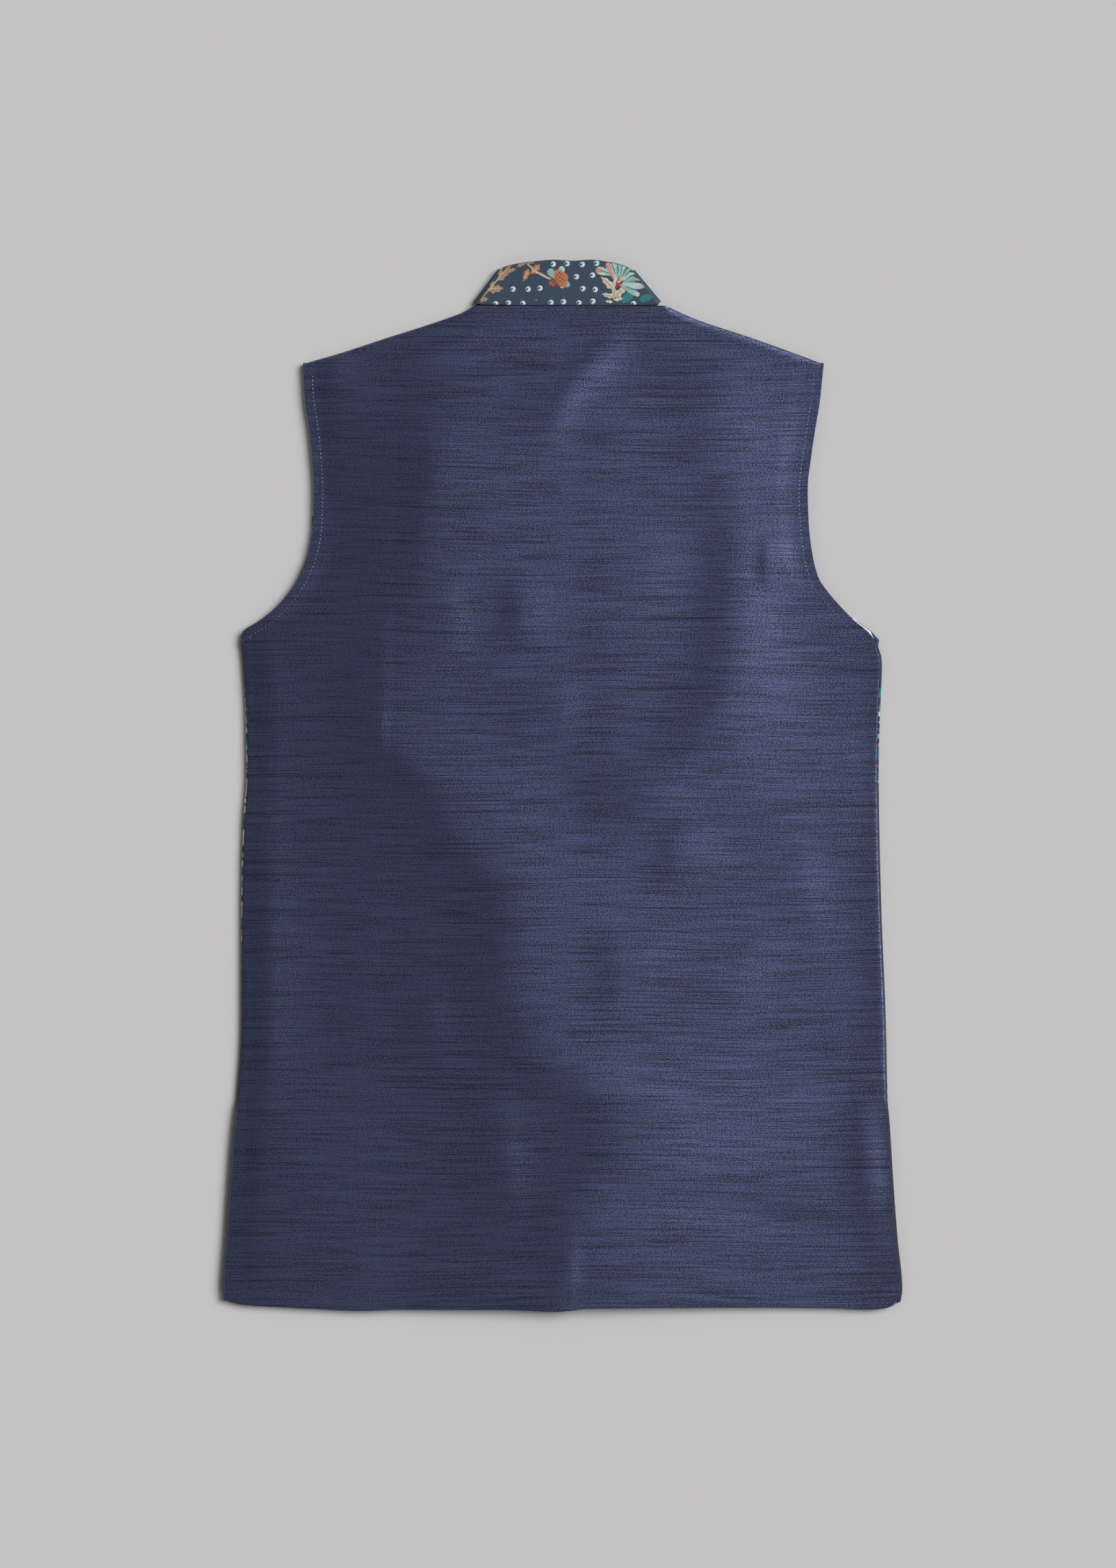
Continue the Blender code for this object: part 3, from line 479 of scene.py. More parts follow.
def step_between(at, start, end):
    """0 before the start, 1 past the end, softly between."""
    return eased((at - start) / (end - start))


def slopes(knots, values):
    """Slopes of a smooth line through the values that never overshoots them."""
    steps = np.diff(knots)
    rates = np.diff(values) / steps
    found = np.zeros(len(values))
    found[0], found[-1] = rates[0], rates[-1]
    for k in range(1, len(values) - 1):
        if rates[k - 1] * rates[k] > 0:
            before, after = 2 * steps[k] + steps[k - 1], steps[k] + 2 * steps[k - 1]
            found[k] = (before + after) / (before / rates[k - 1] + after / rates[k])
    return found


def smooth_line(knots, values, at):
    """The values of a smooth line through the knots, at any places along it."""
    knots, values = np.asarray(knots, float), np.asarray(values, float)
    tilt = slopes(knots, values)
    at = np.clip(at, knots[0], knots[-1])
    k = np.clip(np.searchsorted(knots, at, side="right") - 1, 0, len(knots) - 2)
    step = knots[k + 1] - knots[k]
    t = (at - knots[k]) / step
    return (
        (1 + 2 * t) * (1 - t) ** 2 * values[k]
        + t * (1 - t) ** 2 * step * tilt[k]
        + t * t * (3 - 2 * t) * values[k + 1]
        + t * t * (t - 1) * step * tilt[k + 1]
    )


def read_line(rows, names, along, name, at):
    """One column of a table at any places along another."""
    knots, values = ([row[names.index(column)] for row in rows] for column in (along, name))
    return smooth_line(knots, values, at)


def side_edge(height, side):
    return read_line(SIDE_ROWS, SIDE_COLUMNS, "height", side, height)


def seam_closed(height):
    """1 where the side seam is sewn, 0 along the vent and the armhole."""
    return step_between(height, *VENT_TOP) * (1 - step_between(height, *UNDERARM))


def climb(share):
    return read_line(TOP_ROWS, TOP_COLUMNS, "share", "climb", share)


def hem_drop(x, height):
    left, right = side_edge(height, "left"), side_edge(height, "right")
    drop = read_line(HEM_ROWS, HEM_COLUMNS, "share", "drop", (x - left) / (right - left))
    return drop * (1 - eased(height / HEM_FADE))


def ridge(x, height, row):
    """One soft fold's rise: steep on its narrow side, and fading towards its ends."""
    across, up, half_length, left_width, right_width, turn, rise = row
    lean = math.radians(turn)
    along = ((height - up) * math.cos(lean) - (x - across) * math.sin(lean)) / half_length
    off = (x - across) * math.cos(lean) + (height - up) * math.sin(lean)
    off = off / np.where(off < 0, left_width, right_width)
    return rise * np.exp(-along * along - off * off)


def main_fold(x, height, left, right):
    """The rise of the long fold: two nearly straight flanks that meet in a round crest with a low peak."""
    crest, rise, peak, soft = (
        read_line(CREST_ROWS, CREST_COLUMNS, "height", name, height) for name in CREST_COLUMNS[1:]
    )
    start, end = left + EDGE_FLAT, right - EDGE_FLAT
    flanks = (x - start) / (crest - start), (end - x) / (end - crest)
    meet = np.clip(-soft * np.logaddexp(-flanks[0] / soft, -flanks[1] / soft), 0.0, None)
    off = (x - crest) / np.where(x < crest, *PEAK_WIDTHS)
    risen = rise * (np.hypot(meet, FLANK_START) - FLANK_START)
    risen = risen + peak * np.exp(-off * off) * eased(meet / FLANK_START)
    top = SHOULDER_TIP + (BACK_NECK - SHOULDER_TIP) * climb((x - left) / (right - left))
    return risen * eased((top - height) / SHOULDER_REACH)


def back_rise(x, height, left, right):
    """How far the back stands above its edges: over the lapped fronts, and in its soft folds."""
    placket = PLACKET_RISE * (1 - eased((abs(x) - PLACKET_HALF) / (PLACKET_FOOT - PLACKET_HALF)))
    placket = placket * (1 - PLACKET_LOSS * step_between(height, *PLACKET_END))
    room = np.minimum(x - left, right - x)
    inside = eased(room / FOLD_MARGIN) * (1 - step_between(height, *FOLD_END))
    inside = inside * (HEM_SHARE + (1 - HEM_SHARE) * eased(height / FOLD_HEM))
    folded = sum(ridge(x, height, row) for row in FOLD_ROWS)
    folded = np.maximum(inside * folded + main_fold(x, height, left, right), 0.0)
    return (placket**3 + folded**3) ** (1 / 3)


def lift(x, height):
    """How far the lapped fronts stand up over the nearest button, sagging between two of them."""
    beside = np.clip((LIFT_FOOT - abs(x)) / (LIFT_FOOT - LIFT_TOP), 0.0, 1.0)
    away = np.min([abs(height - place) for place in BUTTON_HEIGHTS], axis=0)
    sagged = 1 - (1 - LIFT_SAG) * step_between(away, LIFT_FLAT, LIFT_SAGGED)
    return LIFT * beside * sagged * step_between(height, *LIFT_START) * (1 - step_between(height, *LIFT_END))


def front_z(x, height, side):
    """Height of a front's middle surface. The right front laps over the left one."""
    z = FRONT_Z + lift(x, height)
    if side == "right":
        foot = LAP_FOOT + LAP_SPREAD * np.maximum(height - LAP_CORNER, 0.0)
        lapped = np.clip((foot - x) / (LAP_FOOT - LAP_EDGE), 0.0, 1.0)
        z = z + LAP_STEP * lapped * (1 - step_between(height, *LAP_END))
    return z


def inward(side):
    return 1.0 if side == "left" else -1.0


def outer_edge(height, side, layer):
    """x of a panel's outermost line."""
    outer = side_edge(height, side)
    if layer == "front":
        outside = read_line(SCYE_ROWS, SCYE_COLUMNS, "height", side, height)
        outer = outer - inward(side) * outside * (1 - seam_closed(height))
    return outer


def roll_point(share, first_turn, last_turn):
    """A point of the roll's arc: how far in from its outermost line, and how high."""
    turn = np.radians(first_turn + share * (last_turn - first_turn))
    return ROLL_REACH - ROLL_RADIUS * np.cos(turn), FRONT_Z + ROLL_RADIUS * (1 + np.sin(turn))


def rolled_edge(heights, side, layer):
    """(x, z) across a panel's rolled side for each of its rows, from its edge inwards."""
    outer = outer_edge(heights, side, layer)[:, None]
    seam = read_line(SEAM_ROWS, SEAM_COLUMNS, "height", side, heights)[:, None]
    closed = seam_closed(heights)[:, None]
    first, last, flat_z = (seam, 90.0, BACK_Z) if layer == "back" else (seam - SEAM_TURN, -90.0, FRONT_Z)
    reach, z = roll_point(ROLL_SHARES[None, :], first, last)
    reach = ROLL_REACH * ROLL_SHARES + closed * (reach - ROLL_REACH * ROLL_SHARES)
    return outer + inward(side) * reach, flat_z + closed * (z - flat_z)


def row_heights(step):
    """Heights of a panel's rows at its side, with room left at the top for the shoulder's roll."""
    return np.append(np.arange(0.0, SHOULDER_TIP - TOP_ROOM, step), SHOULDER_TIP)


def neck_share(side):
    """The share of the top's width at which the neck begins, from that side's shoulder tip."""
    tip = np.array([SHOULDER_TIP])
    ends = [float(outer_edge(tip, name, "back")[0]) + inward(name) * ROLL_REACH for name in SIDES]
    place = NECK_LEFT if side == "left" else NECK_RIGHT
    return abs(place - ends[side == "right"]) / (ends[1] - ends[0])


def spaced(start, end, step):
    """Even places from start up to but without end, about a step apart."""
    return np.linspace(start, end, max(int(round(abs(end - start) / step)), 2), endpoint=False)


def with_shoulder_roll(grid, climbs, layer):
    """Adds rows past a panel's top that roll round the shoulder, and stay flat along the neck."""
    top = grid[-1].copy()
    turns = (SHOULDER_SEAM, 90.0) if layer == "back" else (SHOULDER_SEAM - SEAM_TURN, -90.0)
    on_shoulder = 1 - step_between(np.asarray(climbs), *SHOULDER_END)
    grid[-1, :, 1] -= ROLL_REACH
    extra = []
    for share in ROLL_SHARES[-2::-1]:
        line = grid[-1].copy()
        reach, z = roll_point(share, *turns)
        flat = top[:, 1] - ROLL_REACH * share
        line[:, 1] = flat + on_shoulder * (top[:, 1] - reach - flat)
        line[:, 2] += on_shoulder * (z - top[:, 2])
        extra.append(line)
    return np.concatenate([grid, np.array(extra)])


def back_grid():
    """The back's middle surface, in rows of points from side to side and from the hem to the neck."""
    heights = row_heights(PANEL_STEP)
    middles = read_line(PANEL_ROWS, PANEL_COLUMNS, "side", "middle", heights)
    left_x, left_z = rolled_edge(heights, "left", "back")
    right_x, right_z = rolled_edge(heights, "right", "back")
    width = right_x[-1, -1] - left_x[-1, -1]
    necks = (neck_share("left"), 1 - neck_share("right"))
    step = PANEL_STEP / (right_x[0, -1] - left_x[0, -1])
    parts = (0, *necks, 1)
    shares = np.concatenate([*(spaced(*ends, step) for ends in zip(parts, parts[1:])), [1.0]])
    climbs = climb(shares)
    start, end = left_x[:, -1:], right_x[:, -1:]
    x = start + shares * (end - start)
    height = heights[:, None] + (middles - heights)[:, None] * climbs
    z = BACK_Z + back_rise(x, height, start, end)
    height = height - hem_drop(x, height)
    x = np.hstack([left_x[:, :-1], x, right_x[:, -2::-1]])
    z = np.hstack([left_z[:, :-1], z, right_z[:, -2::-1]])
    rim = np.ones(len(ROLL_SHARES) - 1)
    height = np.hstack([np.outer(height[:, 0], rim), height, np.outer(height[:, -1], rim)])
    rim_climbs = 0 * rim
    return with_shoulder_roll(np.stack([x, height, z], axis=-1), [*rim_climbs, *climbs, *rim_climbs], "back")


def front_ends(heights, side):
    """The inner end of each of a front's rows, past the centre or round the neck: (x, height)."""
    past, half = inward(side), -NECK_LEFT if side == "left" else NECK_RIGHT
    ends = []
    for _, _, front, reach, neck_turn in PANEL_ROWS:
        turn = math.radians(neck_turn)
        x = past * reach if neck_turn == 0 else -past * half * math.sin(turn)
        ends.append((x, front + (BACK_NECK - FRONT_NECK) * (1 - math.cos(turn))))
    sides = [row[0] for row in PANEL_ROWS]
    xs, ups = zip(*ends)
    return smooth_line(sides, xs, heights), smooth_line(sides, ups, heights)


def front_grid(side):
    """A front's middle surface, from its side inwards and from the hem to the shoulder."""
    heights = row_heights(UNDER_STEP)
    turns = read_line(PANEL_ROWS, PANEL_COLUMNS, "side", "neck_turn", heights)
    rim_x, rim_z = rolled_edge(heights, side, "front")
    end_x, end_height = front_ends(heights, side)
    lap = np.append(spaced(LAP_WIDTHS[side], 0.0, UNDER_STEP / 2), 0.0)
    outer_count = int((abs(rim_x[0, -1]) - LAP_WIDTHS[side]) / UNDER_STEP)
    count = outer_count + len(lap)
    even = np.linspace(0, 1, count)
    top_shares = even * neck_share(side)
    top_climbs = climb(top_shares if side == "left" else 1 - top_shares)
    start, end = rim_x[:, -1:], end_x[:, None]
    outer = start + np.arange(outer_count) / outer_count * (end - inward(side) * lap[0] - start)
    lapped = np.hstack([outer, end - inward(side) * lap])
    lapped_climbs = np.minimum(np.arange(count) / outer_count, 1.0)
    neck = eased(turns / NECK_BLEND)[:, None]
    x = lapped + neck * (start + even * (end - start) - lapped)
    climbs = lapped_climbs + neck * (top_climbs - lapped_climbs)
    height = heights[:, None] + (end_height - heights)[:, None] * climbs
    z = front_z(x, height, side)
    height = height - hem_drop(x, height)
    rim = np.ones(len(ROLL_SHARES) - 1)
    grid = np.stack(
        [
            np.hstack([rim_x[:, :-1], x]),
            np.hstack([np.outer(height[:, 0], rim), height]),
            np.hstack([rim_z[:, :-1], z]),
        ],
        axis=-1,
    )
    return with_shoulder_roll(grid, [*(0 * rim), *top_climbs], "front"), len(rim) + outer_count


def lining_grid(side, front, last):
    """A lining's middle surface, made from its front's points and moved up, with the back's puff."""
    heights = row_heights(UNDER_STEP)
    grid = front[2 : len(heights), len(ROLL_SHARES) - 1 : last + 1].copy()
    kept = heights[2:]
    tucked = np.maximum(seam_closed(kept), seam_closed(kept - LINING_TUCK))
    margin = LINING_MARGIN + tucked * (ROLL_REACH + SEAM_GAP - LINING_MARGIN)
    grid[:, 0, 0] = outer_edge(kept, side, "front") + inward(side) * margin
    grid[-1, :, 1] -= LINING_MARGIN - ROLL_REACH
    ends = [(outer_edge(kept, name, "back") + inward(name) * ROLL_REACH)[:, None] for name in SIDES]
    grid[..., 2] = LINING_Z + LINING_SHARE * back_rise(grid[..., 0], grid[..., 1], *ends)
    return grid


def band_height(away):
    """Height of the band at a distance from its end, with a round corner."""
    if away >= BAND_CORNER:
        return BAND_HEIGHT
    return BAND_HEIGHT - BAND_CORNER + math.sqrt(BAND_CORNER**2 - (BAND_CORNER - away) ** 2)


def front_band(side):
    """Sections of the collar's front half, from the centre to the shoulder, like BACK_BAND_ROWS."""
    half = (-NECK_LEFT if side == "left" else NECK_RIGHT) - BAND_SEAM
    foot_rise = BACK_NECK - FRONT_NECK - BAND_SEAM
    found = []
    for degrees in BAND_TURNS:
        turn = math.radians(degrees)
        lean = math.radians(BAND_LEAN) * math.sin(turn)
        x = -inward(side) * half * math.sin(turn)
        foot = FRONT_NECK + BAND_SEAM + foot_rise * (1 - math.cos(turn))
        tall = band_height(half * math.sin(turn))
        top_x = x + inward(side) * tall * math.sin(lean)
        found.append((x, foot, top_x, foot + tall * math.cos(lean), BAND_Z))
    return found


def band_fold(side):
    """Sections round the band's fold, from the floor up to the back half."""
    (foot_x, foot_height), (top_x, top_height) = BAND_FOLDS[side]
    run = math.hypot(top_x - foot_x, top_height - foot_height)
    out_x = -inward(side) * (top_height - foot_height) / run
    out_height = inward(side) * (top_x - foot_x) / run
    radius = (BAND_BACK_Z - BAND_Z) / 2
    found = []
    for degrees in BAND_FOLD_TURNS:
        out = radius * math.cos(math.radians(degrees))
        z = BAND_Z + radius * (1 + math.sin(math.radians(degrees)))
        foot = foot_x + out * out_x, foot_height + out * out_height
        top = top_x + BAND_PINCH * out * out_x, top_height + BAND_PINCH * out * out_height
        found.append((*foot, *top, z))
    return found


def band_grid():
    """The collar's middle surface: rows run round the neck from left to right, from its foot to its top."""
    sections = np.array(
        front_band("left")
        + band_fold("left")
        + list(BACK_BAND_ROWS)
        + band_fold("right")[::-1]
        + front_band("right")[::-1]
    )
    runs = np.linalg.norm(np.diff(sections[:, [0, 1, 4]], axis=0), axis=1)
    along = np.concatenate([[0.0], np.cumsum(runs)])
    places = np.linspace(0.0, along[-1], int(along[-1] / BAND_STEP))
    foot_x, foot, top_x, top, z = (smooth_line(along, column, places) for column in sections.T)
    shares = np.linspace(0, 1, int(BAND_HEIGHT / BAND_STEP))[:, None]
    x = foot_x + shares * (top_x - foot_x)
    return np.stack([x, foot + shares * (top - foot), z + 0 * shares], axis=-1)


def apply_modifiers(piece):
    bpy.ops.object.select_all(action="DESELECT")
    bpy.context.view_layer.objects.active = piece
    piece.select_set(True)
    for modifier in list(piece.modifiers):
        bpy.ops.object.modifier_apply(modifier=modifier.name)


def cloth_places(grid):
    """Each point's place on the cloth when it is spread flat: across it and up it, in millimetres."""
    across = np.linalg.norm(np.diff(grid, axis=1), axis=2)
    along = np.linalg.norm(np.diff(grid, axis=0), axis=2)
    across = np.concatenate([0 * across[:, :1], np.cumsum(across, axis=1)], axis=1)
    along = np.concatenate([0 * along[:1], np.cumsum(along, axis=0)], axis=0)
    middle = slice(grid.shape[1] // 2, grid.shape[1] // 2 + 1)
    return np.stack([across - across[:, middle] + grid[:1, middle, 0], along], axis=-1)


def add_sheet(name, grid, thickness, material, places=None, edge_material=None):
    """A thin closed shell round a middle surface: a grid laid on its points, given a wall and soft edges."""
    if grid[0, 0, 0] > grid[0, -1, 0]:  # turned about, so that the face stays the face
        grid = grid[:, ::-1]
    rows, columns = grid.shape[:2]
    bpy.ops.object.select_all(action="DESELECT")
    bpy.ops.mesh.primitive_grid_add(x_subdivisions=columns - 1, y_subdivisions=rows - 1, size=1.0)
    piece = bpy.context.object
    piece.name = piece.data.name = name
    points = (grid - (0.0, MIDDLE_HEIGHT, 0.0)) * MM
    piece.data.vertices.foreach_set("co", points.ravel())
    flat = (grid[..., :2] if places is None else places).reshape(-1, 2) * MM
    corners = np.zeros(len(piece.data.loops), np.int32)
    piece.data.loops.foreach_get("vertex_index", corners)
    piece.data.uv_layers[0].name = "cloth"
    piece.data.uv_layers["cloth"].uv.foreach_set("vector", flat[corners].ravel())
    wall = piece.modifiers.new("wall", "SOLIDIFY")
    wall.thickness, wall.offset = thickness * MM, 0.0
    wall.use_even_offset = wall.use_quality_normals = True
    edge = piece.modifiers.new("edge", "BEVEL")
    edge.width, edge.segments = EDGE_SHARE * thickness * MM, 2
    edge.limit_method, edge.angle_limit = "ANGLE", math.radians(EDGE_ANGLE)
    piece.data.materials.append(material)
    if edge_material:
        piece.data.materials.append(edge_material)
        wall.material_offset_rim = edge.material = 1
    apply_modifiers(piece)
    piece.data.polygons.foreach_set("use_smooth", [True] * len(piece.data.polygons))
    return piece


def linear(colour):
    """An sRGB hex colour as linear numbers."""
    parts = [int(colour[k : k + 2], 16) / 255 for k in (1, 3, 5)]
    return [part / 12.92 if part <= 0.04045 else ((part + 0.055) / 1.055) ** 2.4 for part in parts] + [1.0]


def armhole_line(side, inset):
    """Points along an armhole, an even step apart and moved in from its edge: (x, height, direction)."""
    heights = np.arange(*STITCH_HEIGHTS, SEAM_LINE_STEP)
    x = side_edge(heights, side)
    along = np.arctan2(np.gradient(heights), np.gradient(x))
    x = x + inward(side) * inset * np.sin(along)
    heights = heights - inward(side) * inset * np.cos(along)
    return x, heights, along


def back_top(x, height):
    """Height of the back's upper face at places clear of its rolled edges."""
    ends = [side_edge(height, side) + inward(side) * ROLL_REACH for side in SIDES]
    return BACK_Z + back_rise(x, height, *ends) + CLOTH / 2


def move_in(piece, points):
    """Gives a piece's points new places, in millimetres of the tables."""
    places = (np.asarray(points) - (0.0, MIDDLE_HEIGHT, 0.0)) * MM
    piece.data.vertices.foreach_set("co", places.ravel())
    piece.data.update()


def points_of(piece):
    points = np.zeros(len(piece.data.vertices) * 3)
    piece.data.vertices.foreach_get("co", points)
    return points.reshape(-1, 3)


def copy_of(piece):
    made = piece.copy()
    made.data = piece.data.copy()
    bpy.context.scene.collection.objects.link(made)
    return made


def join(pieces, name):
    bpy.ops.object.select_all(action="DESELECT")
    for piece in pieces:
        piece.select_set(True)
    bpy.context.view_layer.objects.active = pieces[0]
    bpy.ops.object.join()
    pieces[0].name = pieces[0].data.name = name
    return pieces[0]


def remove(piece):
    bpy.data.objects.remove(piece, do_unlink=True)


def turned(points, degrees):
    turn = math.radians(degrees)
    return points @ np.array([[math.cos(turn), math.sin(turn)], [-math.sin(turn), math.cos(turn)]])


def add_stitches(side, material):
    """Topstitching round an armhole: one arched bead of thread, copied along the line."""
    x, heights, along = armhole_line(side, STITCH_INSET)
    run = np.concatenate([[0.0], np.cumsum(np.hypot(np.diff(x), np.diff(heights)))])
    places = np.arange(STITCH_STEP / 2, run[-1], STITCH_STEP)
    x, heights, along = (np.interp(places, run, values) for values in (x, heights, along))
    z = back_top(x, heights)
    bpy.ops.object.select_all(action="DESELECT")
    bpy.ops.mesh.primitive_uv_sphere_add(segments=8, ring_count=6, radius=0.5)
    bead = bpy.context.object
    bead.data.polygons.foreach_set("use_smooth", [True] * len(bead.data.polygons))
    bead.data.materials.append(material)
    shape = points_of(bead) * STITCH_SIZE
    shape[:, 2] -= STITCH_SIZE[2] * (2 * shape[:, 0] / STITCH_SIZE[0]) ** 2 / 2
    draw = np.random.default_rng(STITCH_SEEDS[side])
    stitches = []
    for place in zip(x, heights, z, along):
        stitch = copy_of(bead)
        sunk = STITCH_FADE * (1 - step_between(place[1], *STITCH_LOW))
        size = (1 + STITCH_JITTER * draw.uniform(-1, 1, 3)) * (1 - sunk)
        local = shape * size
        flat = turned(local[:, :2], math.degrees(place[3]) + draw.uniform(-STITCH_TURN, STITCH_TURN))
        move_in(stitch, np.column_stack([flat, local[:, 2]]) + place[:3])
        stitches.append(stitch)
    remove(bead)
    return join(stitches, f"{side}_armhole_stitches")


def shape_outline(form, length, width, bend):
    """A print shape's outline: up one side of its midline and down the other, with round ends."""
    share = (1 - np.cos(np.linspace(0, math.pi, OUTLINE_POINTS))) / 2
    profile = {
        "stem": np.sqrt(1 - share) * np.minimum(share * 20, 1),
        "vein": np.sqrt(np.sin(math.pi * share)),
        "disc": 2 * np.sqrt(share * (1 - share)),
        "frond": np.sin(math.pi * share**0.8) * (1 + 0.3 * np.cos(2 * math.pi * FROND_TEETH * share)),
        "petal": 1.15 * share**0.6 * np.sqrt(1 - share**5),
    }[form]
    middle = np.column_stack([length * share, bend * length * share**2])
    slope = np.arctan(2 * bend * share)
    off = np.column_stack([-np.sin(slope), np.cos(slope)]) * (width / 2 * profile)[:, None]
    return np.concatenate([middle - off, (middle + off)[-2:0:-1]])


def ink_plate():
    """The thin round plate that the print's shapes are drawn out from: its points and its faces."""
    bpy.ops.object.select_all(action="DESELECT")
    bpy.ops.mesh.primitive_circle_add(vertices=2 * OUTLINE_POINTS - 2, radius=1.0, fill_type="TRIFAN")
    plate = bpy.context.object
    wall = plate.modifiers.new("wall", "SOLIDIFY")
    wall.thickness, wall.offset = 1.0, -1.0
    apply_modifiers(plate)
    made = points_of(plate), [list(face.vertices) for face in plate.data.polygons]
    remove(plate)
    return made


def drawn_out(plate, outline, level):
    """The plate's points moved to a shape's outline, a little over the shape before it."""
    turn = np.arctan2(plate[:, 1], plate[:, 0]) / (2 * math.pi)
    flat = outline[np.round(turn * len(outline)).astype(int) % len(outline)]
    flat[np.hypot(plate[:, 0], plate[:, 1]) < 0.5] = outline.mean(axis=0)
    return np.column_stack([flat, INK_RISE + level * INK_STEP + plate[:, 2] * INK_THICKNESS])


def add_print(name, placed, face, out, material):
    """Lays motifs on a panel's face, which looks up or down, as one mesh. The face cuts or drops shapes."""
    plate, faces = ink_plate()
    points, colours = [], []
    for motif, x, height, turn, size in placed:
        for level, (form, start, up, lean, length, width, bend, ink) in enumerate(MOTIFS[motif]):
            outline = turned(shape_outline(form, length, width, bend), lean) + (start, up)
            shape = drawn_out(plate, turned(outline * size, turn), level)
            laid = face(*(shape[:, :2] * (out, 1.0) + (x, height)).T)
            if laid is not None:
                points.append(np.column_stack(laid) + shape[:, 2:] * (0.0, 0.0, out))
                colours.append(np.tile(linear(INKS[ink]), (len(shape), 1)))
    places = (np.concatenate(points) - (0.0, MIDDLE_HEIGHT, 0.0)) * MM
    corners = [[corner + k * len(plate) for corner in one] for k in range(len(points)) for one in faces]
    mesh = bpy.data.meshes.new(name)
    mesh.from_pydata(places, [], corners)
    inks = mesh.color_attributes.new("ink", "FLOAT_COLOR", "POINT")
    inks.data.foreach_set("color", np.concatenate(colours).ravel())
    mesh.materials.append(material)
    piece = bpy.data.objects.new(name, mesh)
    bpy.context.scene.collection.objects.link(piece)
    return piece


def collar_top(x):
    """Height of the outline of the collar's back half."""
    tops = [row[2:4] for row in BACK_BAND_ROWS]
    return np.interp(x, *zip(*BAND_FOLDS["left"], *tops, *BAND_FOLDS["right"][::-1]))


def on_collar(x, height):
    """Cuts a shape at the outline of the collar's back half, and lays it there."""
    foot, top = BACK_NECK + COLLAR_INSET[0], collar_top(x) - COLLAR_INSET[1]
    if (height > top).all() or (height < foot).all():
        return None
    z = np.interp(x, [row[0] for row in BACK_BAND_ROWS], [row[4] for row in BACK_BAND_ROWS])
    return x, np.maximum(np.minimum(height, top), foot), z + COLLAR_CLOTH / 2


def on_front(side):
    """Lays a shape on a front's outer face, or drops one that isn't wholly on it."""

    def lay(x, height):
        room = inward(side) * (x - side_edge(height, side))
        neck = np.hypot(x / NECK_RIGHT, (BACK_NECK - height) / (BACK_NECK - FRONT_NECK))
        kept = (room > PRINT_MARGIN) & (inward(side) * x < PRINT_ENDS[side]) & (neck > PRINT_NECK)
        kept &= (height > 2 * PRINT_MARGIN) & (height < SHOULDER_TIP - PRINT_MARGIN)
        return (x, height, front_z(x, height, side) - CLOTH / 2) if kept.all() else None

    return lay


def collar_crescents():
    """Crescents strewn over the collar's back half in loose rows, clear of its motifs."""
    draw = np.random.default_rng(4)
    shapes = []
    for motif, x, height, turn, size in COLLAR_ROWS:
        for _, start, up, lean, length, width, bend, _ in MOTIFS[motif]:
            outline = turned(shape_outline("disc", length, width, bend), lean) + (start, up)
            shapes.append(turned(outline * size, turn) + (x, height))
    taken = np.concatenate(shapes)
    placed = []
    start, end = CRESCENTS_ACROSS
    for row, height in enumerate(np.arange(*CRESCENTS_UP, CRESCENT_SPACE[1])):
        for x in np.arange(start + CRESCENT_SHIFT * (row % 2), end, CRESCENT_SPACE[0]):
            at = np.array([x, height]) + draw.uniform(-CRESCENT_JITTER, CRESCENT_JITTER, 2)
            clear = np.hypot(*(taken - at).T).min() > CRESCENT_ROOM
            if clear and at[1] < collar_top(at[0]) - CRESCENT_RADIUS:
                placed.append(("crescent", *at, 0.0, 1.0))
    return placed


def front_placing():
    """Where the motifs of every repeat of the fronts' print lie."""
    placed = []
    for column in range(*REPEATS_ACROSS):
        for row in range(*REPEATS_UP):
            across, up = column * REPEAT_STEP[0], (row + REPEAT_DROP * (column % 2)) * REPEAT_STEP[1]
            placed += [(motif, x + across, height + up, *rest) for motif, x, height, *rest in REPEAT_ROWS]
    return placed


def add_button(number, height, material):
    """A cast brass button, face down: a rim round a recess with a low dome in it."""
    bpy.ops.object.select_all(action="DESELECT")
    bpy.ops.mesh.primitive_cylinder_add(
        vertices=BUTTON_SIDES,
        radius=BUTTON_RADIUS * MM,
        depth=BUTTON_THICKNESS * MM,
        location=(0.0, (height - MIDDLE_HEIGHT) * MM, BUTTON_THICKNESS / 2 * MM),
    )
    button = bpy.context.object
    button.name = button.data.name = f"button_{number}_cast"
    bpy.ops.object.transform_apply(location=True, rotation=True, scale=True)
    bpy.ops.object.mode_set(mode="EDIT")
    bpy.ops.mesh.select_all(action="DESELECT")
    bpy.ops.object.mode_set(mode="OBJECT")
    for face in button.data.polygons:
        face.select = face.normal.z < -0.9
    bpy.ops.object.mode_set(mode="EDIT")
    bpy.ops.mesh.inset(thickness=BUTTON_RIM * MM)
    for width, up in BUTTON_RINGS:
        bpy.ops.mesh.inset(thickness=width * MM)
        bpy.ops.transform.translate(value=(0.0, 0.0, up * MM))
    bpy.ops.object.mode_set(mode="OBJECT")
    edge = button.modifiers.new("edge", "BEVEL")
    edge.width, edge.segments = BUTTON_EDGE * MM, 3
    edge.limit_method, edge.angle_limit = "ANGLE", math.radians(30)
    apply_modifiers(button)
    bpy.ops.object.shade_smooth_by_angle(angle=math.radians(40))
    button.data.materials.append(material)
    return button


def new_material(name):
    made = bpy.data.materials.new(name)
    made.use_nodes = True
    return made, made.node_tree.nodes["Principled BSDF"]


def plug(material, output, socket):
    material.node_tree.links.new(output, socket)


